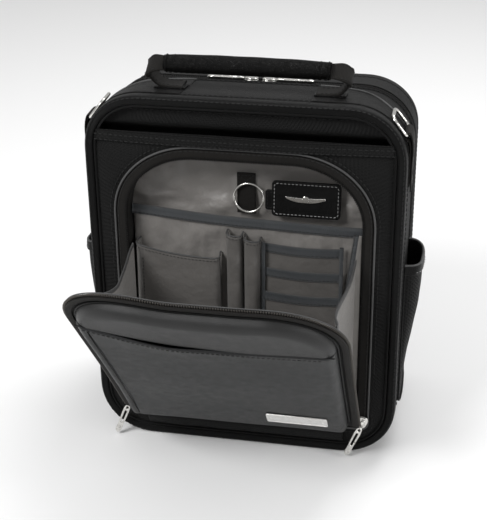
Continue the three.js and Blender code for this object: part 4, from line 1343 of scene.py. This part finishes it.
# ---------------------------------------------------------------- side pockets
def build_side_pockets():
    for name, side in (("side_pocket_left", -1), ("side_pocket_right", 1)):
        low, high = span(name)
        wall = HALF + 0.5
        a = np.linspace(-1, 1, 40)[:, None]
        z = np.linspace(low[2], high[2] - 0.6, 40)[None]
        up = (z - low[2]) / (high[2] - low[2])
        reach = 13.2 * (0.12 + 0.88 * ease(up * 1.15))
        plan = np.sqrt(np.maximum(1 - np.abs(a) ** 3.4, 0))
        x = side * (wall + reach * plan)
        y = (low[1] + high[1]) / 2 + a * (high[1] - low[1]) / 2 * np.ones_like(z)
        top_dip = 3.0 * np.cos(a * math.pi / 2) * ease((up - 0.8) / 0.2)
        grid = np.stack([x, y, np.broadcast_to(z, x.shape) - top_dip], -1)
        grid[..., 0] += side * 0.6 * ripple(grid, 36, 100 + side) * plan
        piece = fit(sheet_of(name, grid, 1.4, (side, 0, 0)), "ballistic_nylon", "case", [name])
        mouth = grid[:, -1].copy()
        hem = mouth + np.array([side * 0.5, 0, -4.0])
        fit(sweep(name + "_hem", hem, padded_section(2.4, 9, 14, 0.4), side=(side, 0, 0)), "welt_binding")
        fit(sweep(name + "_lip", mouth + np.array([side * 0.3, 0, 0.4]), oval(2.4, 1.8, 8),
                side=(side, 0, 0)), "edge_piping_painted_highlight")
        row = mouth + np.array([side * 1.9, 0, -6.4])
        fit(stitches(name + "_stitches", row[3:-3], (0, 0, 1), 2.6, 1.4, 0.7), "thread_pale")
        rim = np.vstack([grid[0, ::-1], grid[1:-1, 0], grid[-1]])
        rim = rim + np.array([side * 0.4, 0, 0])
        fit(sweep(name + "_piping", resample(rim, 4), oval(2.2, 2.2, 8), side=(side, 0, 0)), "welt_binding")


# ---------------------------------------------------------------- carrying hardware
def build_d_rings():
    lean = math.radians(38)
    for word, side in (("left", -1), ("right", 1)):
        joint = JOINTS[f"d_ring_swing_{word}"]
        pivot = np.array(joint["pos_m"]) / MM
        reach_way = np.array([-side * math.sin(lean), 0, math.cos(lean)])
        normal = np.array([side * math.cos(lean), 0, math.sin(lean)])
        outline = np.array(rounded(0, -12, 20, 12, 5.4, 8))
        path = pivot + outline[:, :1] * reach_way + outline[:, 1:] * np.array([0, 1, 0])
        wire = sweep(f"d_ring_{word}", resample(path, 1.6, closed=True), oval(3.0, 3.0, 12), side=normal,
                closed=True)
        fit(wire, "nickel", f"d_ring_{word}", [f"d_ring_{word}"])
        low, high = span(f"d_ring_tab_{word}")
        x_mid = (low[0] + high[0]) / 2
        front = pivot + normal * 2.9
        over_bar = pivot + reach_way * 2.9
        behind = pivot - normal * 2.6
        inner_x = x_mid - side * 0.9
        points = [
            [x_mid + side * 0.9, low[2]], [x_mid + side * 0.9, (low[2] + high[2]) / 2],
                    [x_mid + side * 1.2, high[2] - 6],
            [front[0], front[2]], [over_bar[0], over_bar[2]], [behind[0], behind[2]],
            [inner_x, high[2] - 7], [inner_x, low[2] + 4],
        ]
        loop_path = smooth_path(np.array([[x, pivot[1], z] for x, z in points]), 60)
        strap = sweep(f"d_ring_tab_{word}", loop_path, padded_section(20, 1.5, 14, 0.35), side=(0, 1, 0))
        fit(strap, "tape_webbing", "case", [f"d_ring_tab_{word}"])
        rows = []
        for z in (low[2] + 3, low[2] + 15, high[2] - 14):
            y = np.linspace(pivot[1] - 8, pivot[1] + 8, 14)
            line = np.stack([np.full(14, x_mid + side * 1.75), y, np.full(14, z)], 1)
            rows.append(stitches("row", line, (0, 0, 1), 2.2, 1.0, 0.7))
        fit(joined(f"d_ring_tab_stitches_{word}", *rows), "thread_dark")


def smooth_path(points, count):
    """A Catmull-Rom curve through the points."""
    points = np.vstack([2 * points[0] - points[1], points, 2 * points[-1] - points[-2]])
    out = []
    spans = len(points) - 3
    for t in np.linspace(0, spans - 1e-6, count):
        k = int(t)
        f = t - k
        a, b, c, d = points[k:k + 4]
        square = 2 * a - 5 * b + 4 * c - d
        cube = 3 * b - a - 3 * c + d
        out.append(0.5 * (2 * b + (c - a) * f + square * f * f + cube * f ** 3))
    return np.array(out)


def build_handle():
    pivot = np.array(JOINTS["handle_fold"]["pos_m"]) / MM
    lean = math.radians(41)
    rise = np.array([0, -math.sin(lean), math.cos(lean)])
    depth = np.array([0, math.cos(lean), math.sin(lean)])
    centre = 19.8

    def at(x, up, out=0.0):
        x, up, out = np.broadcast_arrays(np.asarray(x, float), up, out)
        return pivot + x[..., None] * np.array([1, 0, 0]) + up[..., None] * rise + out[..., None] * depth

    low, high = span("handle_grip")
    reach = high[0] - 0.5
    x = np.linspace(-reach, reach, 60)
    bow = 0.8 * (1 - (x / reach) ** 2)
    grow = 0.88 + 0.12 * (1 - (np.abs(x) / reach) ** 4) + 0.012 * np.sin(x / 5)
    grip = sweep("handle_grip", at(x, centre + bow), padded_section(14.8, 13.8, 28, 0.8), side=depth,
            scale=grow)
    fit(grip, "grip_leather", "handle", ["handle_grip"])
    for k, sign in enumerate((-1, 1)):
        row = at(x[2:-2], centre + bow[2:-2] - 5.0, sign * 5.6)
        fit(stitches(f"handle_stitches_{k + 1}", row, rise, 3.0, 1.5, 0.7), "thread_dark", "handle")
    fit(sweep("handle_seam", at(x, centre + bow - 6.8), oval(2.0, 1.6, 8), side=depth), "grip_leather",
            "handle")
    for word, side in (("left", -1), ("right", 1)):
        turn = np.linspace(0, math.tau, 41)[:-1]
        for k, spot in enumerate((59, 65.5)):
            wrap = at(np.full(40, side * spot), centre + 6.5 * np.sin(turn), 6.9 * np.cos(turn))
            cuff = sweep(f"handle_cuff_{word}_{k + 1}", wrap, oval(1.6, 1.6, 8), side=(1, 0, 0),
                    closed=True)
            fit(cuff, "grip_leather", "handle")
        low, high = span(f"handle_base_{word}")
        foot_z = (low[2] + high[2]) / 2 + 1.8
        knots = [at(side * 66, centre), at(side * 76, centre - 1), at(side * 82, centre - 7),
                at(side * 81, 7),
                 [side * 74, pivot[1] - 1, foot_z + 2.5], [side * 64, pivot[1], foot_z],
                         [side * 55, pivot[1], foot_z]]
        middle = smooth_path(np.array(knots), 50)
        t = ease(np.linspace(-0.1, 1.3, 50))[:, None]
        width_way = depth * (1 - t) + np.array([0, 1, 0]) * t
        narrow = 0.78 + 0.22 * ease(np.linspace(0, 4, 50))
        band = sweep(f"handle_band_{word}", middle, padded_section(17.6, 3.0, 16, 0.4), side=width_way,
                scale=narrow)
        dress(band, "tape_webbing", [f"handle_band_{word}"])
        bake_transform(band)
        _, across, outward = frames_along(middle, width_way)
        rows = [stitches("row", (middle + across * edge * 6.6 + outward * face * 1.5)[8:-4], depth, 2.4,
                1.2, 0.7)
                for edge in (-1, 1) for face in (-1, 1)]
        threads = dress(joined(f"handle_band_stitches_{word}", *rows), "thread_dark")
        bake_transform(threads)
        low, high = span(f"handle_base_{word}")
        mid = (low + high) / 2
        slope = math.atan(DROP)
        matrix = basis((1, 0, 0), (0, math.cos(slope), -math.sin(slope)),
                (0, math.sin(slope), math.cos(slope)), mid)
        patch = plate(f"handle_base_{word}", [rounded(-13, -10, 13, 10, 3)], 2.0, 0.7, matrix)
        fit(patch, "grip_leather", "case", [f"handle_base_{word}"])
        edge = np.array(rounded(-11, -8, 11, 8, 2.2, 4))
        line = mid + edge[:, :1] * np.array([1, 0, 0]) + edge[:,
                1:] * np.array([0, math.cos(slope), -math.sin(slope)])
        line = line + np.array([0, math.sin(slope), math.cos(slope)]) * 1.0
        fit(stitches(f"handle_base_stitches_{word}", line, (0, 0, 1), 2.2, 1.1, 0.7, closed=True),
                "thread_dark")


# ---------------------------------------------------------------- zip sliders and pulls
def slider_parts(matrix):
    """Two shields, the diamond between them and the bridge, lying on local Z = 0 along local X."""
    shield = [(-6, -3.0), (-3.5, -4.4), (2, -4.4), (5.6, -2.2), (6, 0), (5.6, 2.2), (2, 4.4), (-3.5, 4.4),
            (-6, 3.0)]
    lower = plate("lower", [shield], 1.1, 0.35, matrix @ Matrix.Translation((0, 0, 0.6 * MM)))
    upper = plate("upper", [[(x * 0.97, y * 0.97) for x, y in shield]], 1.0, 0.35,
            matrix @ Matrix.Translation((0, 0, 2.1 * MM)))
    core = plate("core", [rounded(-3, -1.6, 3, 1.6, 1.5)], 1.2, 0.2,
            matrix @ Matrix.Translation((0, 0, 1.4 * MM)))
    arch_line = [(-4.2, 2.2), (-3.9, 3.6), (-2.4, 4.3), (0, 4.4), (2.4, 4.3), (3.9, 3.6), (4.2, 2.2)]
    path = np.array([[x, 0, z] for x, z in arch_line])
    bridge = sweep("bridge", path, padded_section(2.6, 0.9, 10, 0.5), side=(0, 1, 0))
    bridge.data.transform(matrix)
    return lower, upper, core, bridge


def pull_parts(matrix, length=31.0, width=5.6):
    """A tapered pull along local X from its eye, with a slot near the eye and a rounded weight at its end."""
    half = width / 2
    outline = [(-1.2, -1.6), (0.5, -2.5), (6, -2.9), (length - 9, -half * 0.86), (length - 5, -half),
            (length - 2, -half * 0.86)]
    outline += [(length, 0)] + [(x, -y) for x, y in outline[::-1]]
    eye = rounded(0.1, -1.0, 2.9, 1.0, 0.95, 4)
    slit = rounded(5.0, -0.95, length - 12, 0.95, 0.9, 4)
    bar = plate("bar", [outline, eye, slit], 1.6, 0.45, matrix)
    a = np.linspace(0, 1, 12)
    bead = np.stack([length - 7 + 6.4 * a, 0 * a, 0 * a], 1)
    swell = 0.35 + 0.65 * np.sqrt(np.maximum(1 - (2 * a - 1) ** 2, 0))
    weight = sweep("weight", bead, oval(5.4, 2.8, 14), side=(0, 1, 0), scale=swell)
    weight.data.transform(matrix)
    return bar, weight


def build_sliders():
    slope = math.atan(DROP)
    for word, side in (("left", -1), ("right", 1)):
        low, high = span(f"main_zip_slider_{word}")
        up = np.array([0, math.sin(slope), math.cos(slope)])
        across = np.array([0, math.cos(slope), -math.sin(slope)])
        centre = (low + high) / 2
        base = centre - up * 2.2
        matrix = basis((side, 0, 0), side * across, up, base)
        body = joined(f"main_zip_slider_{word}", *slider_parts(matrix))
        fit(body, "nickel", f"main_slider_{word}", [f"main_zip_slider_{word}"])
        pivot = np.array(JOINTS[f"main_pull_swing_{word}"]["pos_m"]) / MM
        pull = joined(f"main_zip_pull_{word}", *pull_parts(basis((side, 0, 0), side * across, up, pivot)))
        fit(pull, "nickel", f"main_pull_{word}", [f"main_zip_pull_{word}"])
    lean = math.radians(22)
    down = np.array([-math.sin(lean), 0, -math.cos(lean)])
    across = np.array([math.cos(lean), 0, -math.sin(lean)])
    for word, side in (("left", -1), ("right", 1)):
        low, high = span(f"flap_zip_slider_{word}")
        centre = (low + high) / 2
        out = np.array([0, -1.0, 0])
        base = np.array([centre[0], high[1], centre[2]])
        matrix = basis(down, np.cross(out, down), out, base)
        body = joined(f"flap_zip_slider_{word}", *slider_parts(matrix))
        fit(body, "nickel", f"flap_slider_{word}", [f"flap_zip_slider_{word}"])
        pivot = np.array(JOINTS[f"flap_pull_swing_{word}"]["pos_m"]) / MM
        pull = joined(f"flap_zip_pull_{word}", *pull_parts(basis(down, np.cross(out, down), out, pivot)))
        fit(pull, "nickel", f"flap_pull_{word}", [f"flap_zip_pull_{word}"])


set_stage()
build_welts()
build_front_panel()
build_slip_backing()
build_gussets()
build_corner_yokes()
build_main_zip()
build_front_zip()
build_organizer_shell()
build_wide_pocket()
build_small_pockets()
build_key_leash()
build_flap()
build_flap_gussets()
build_rear_panel()
build_side_pockets()
build_d_rings()
build_handle()
build_sliders()
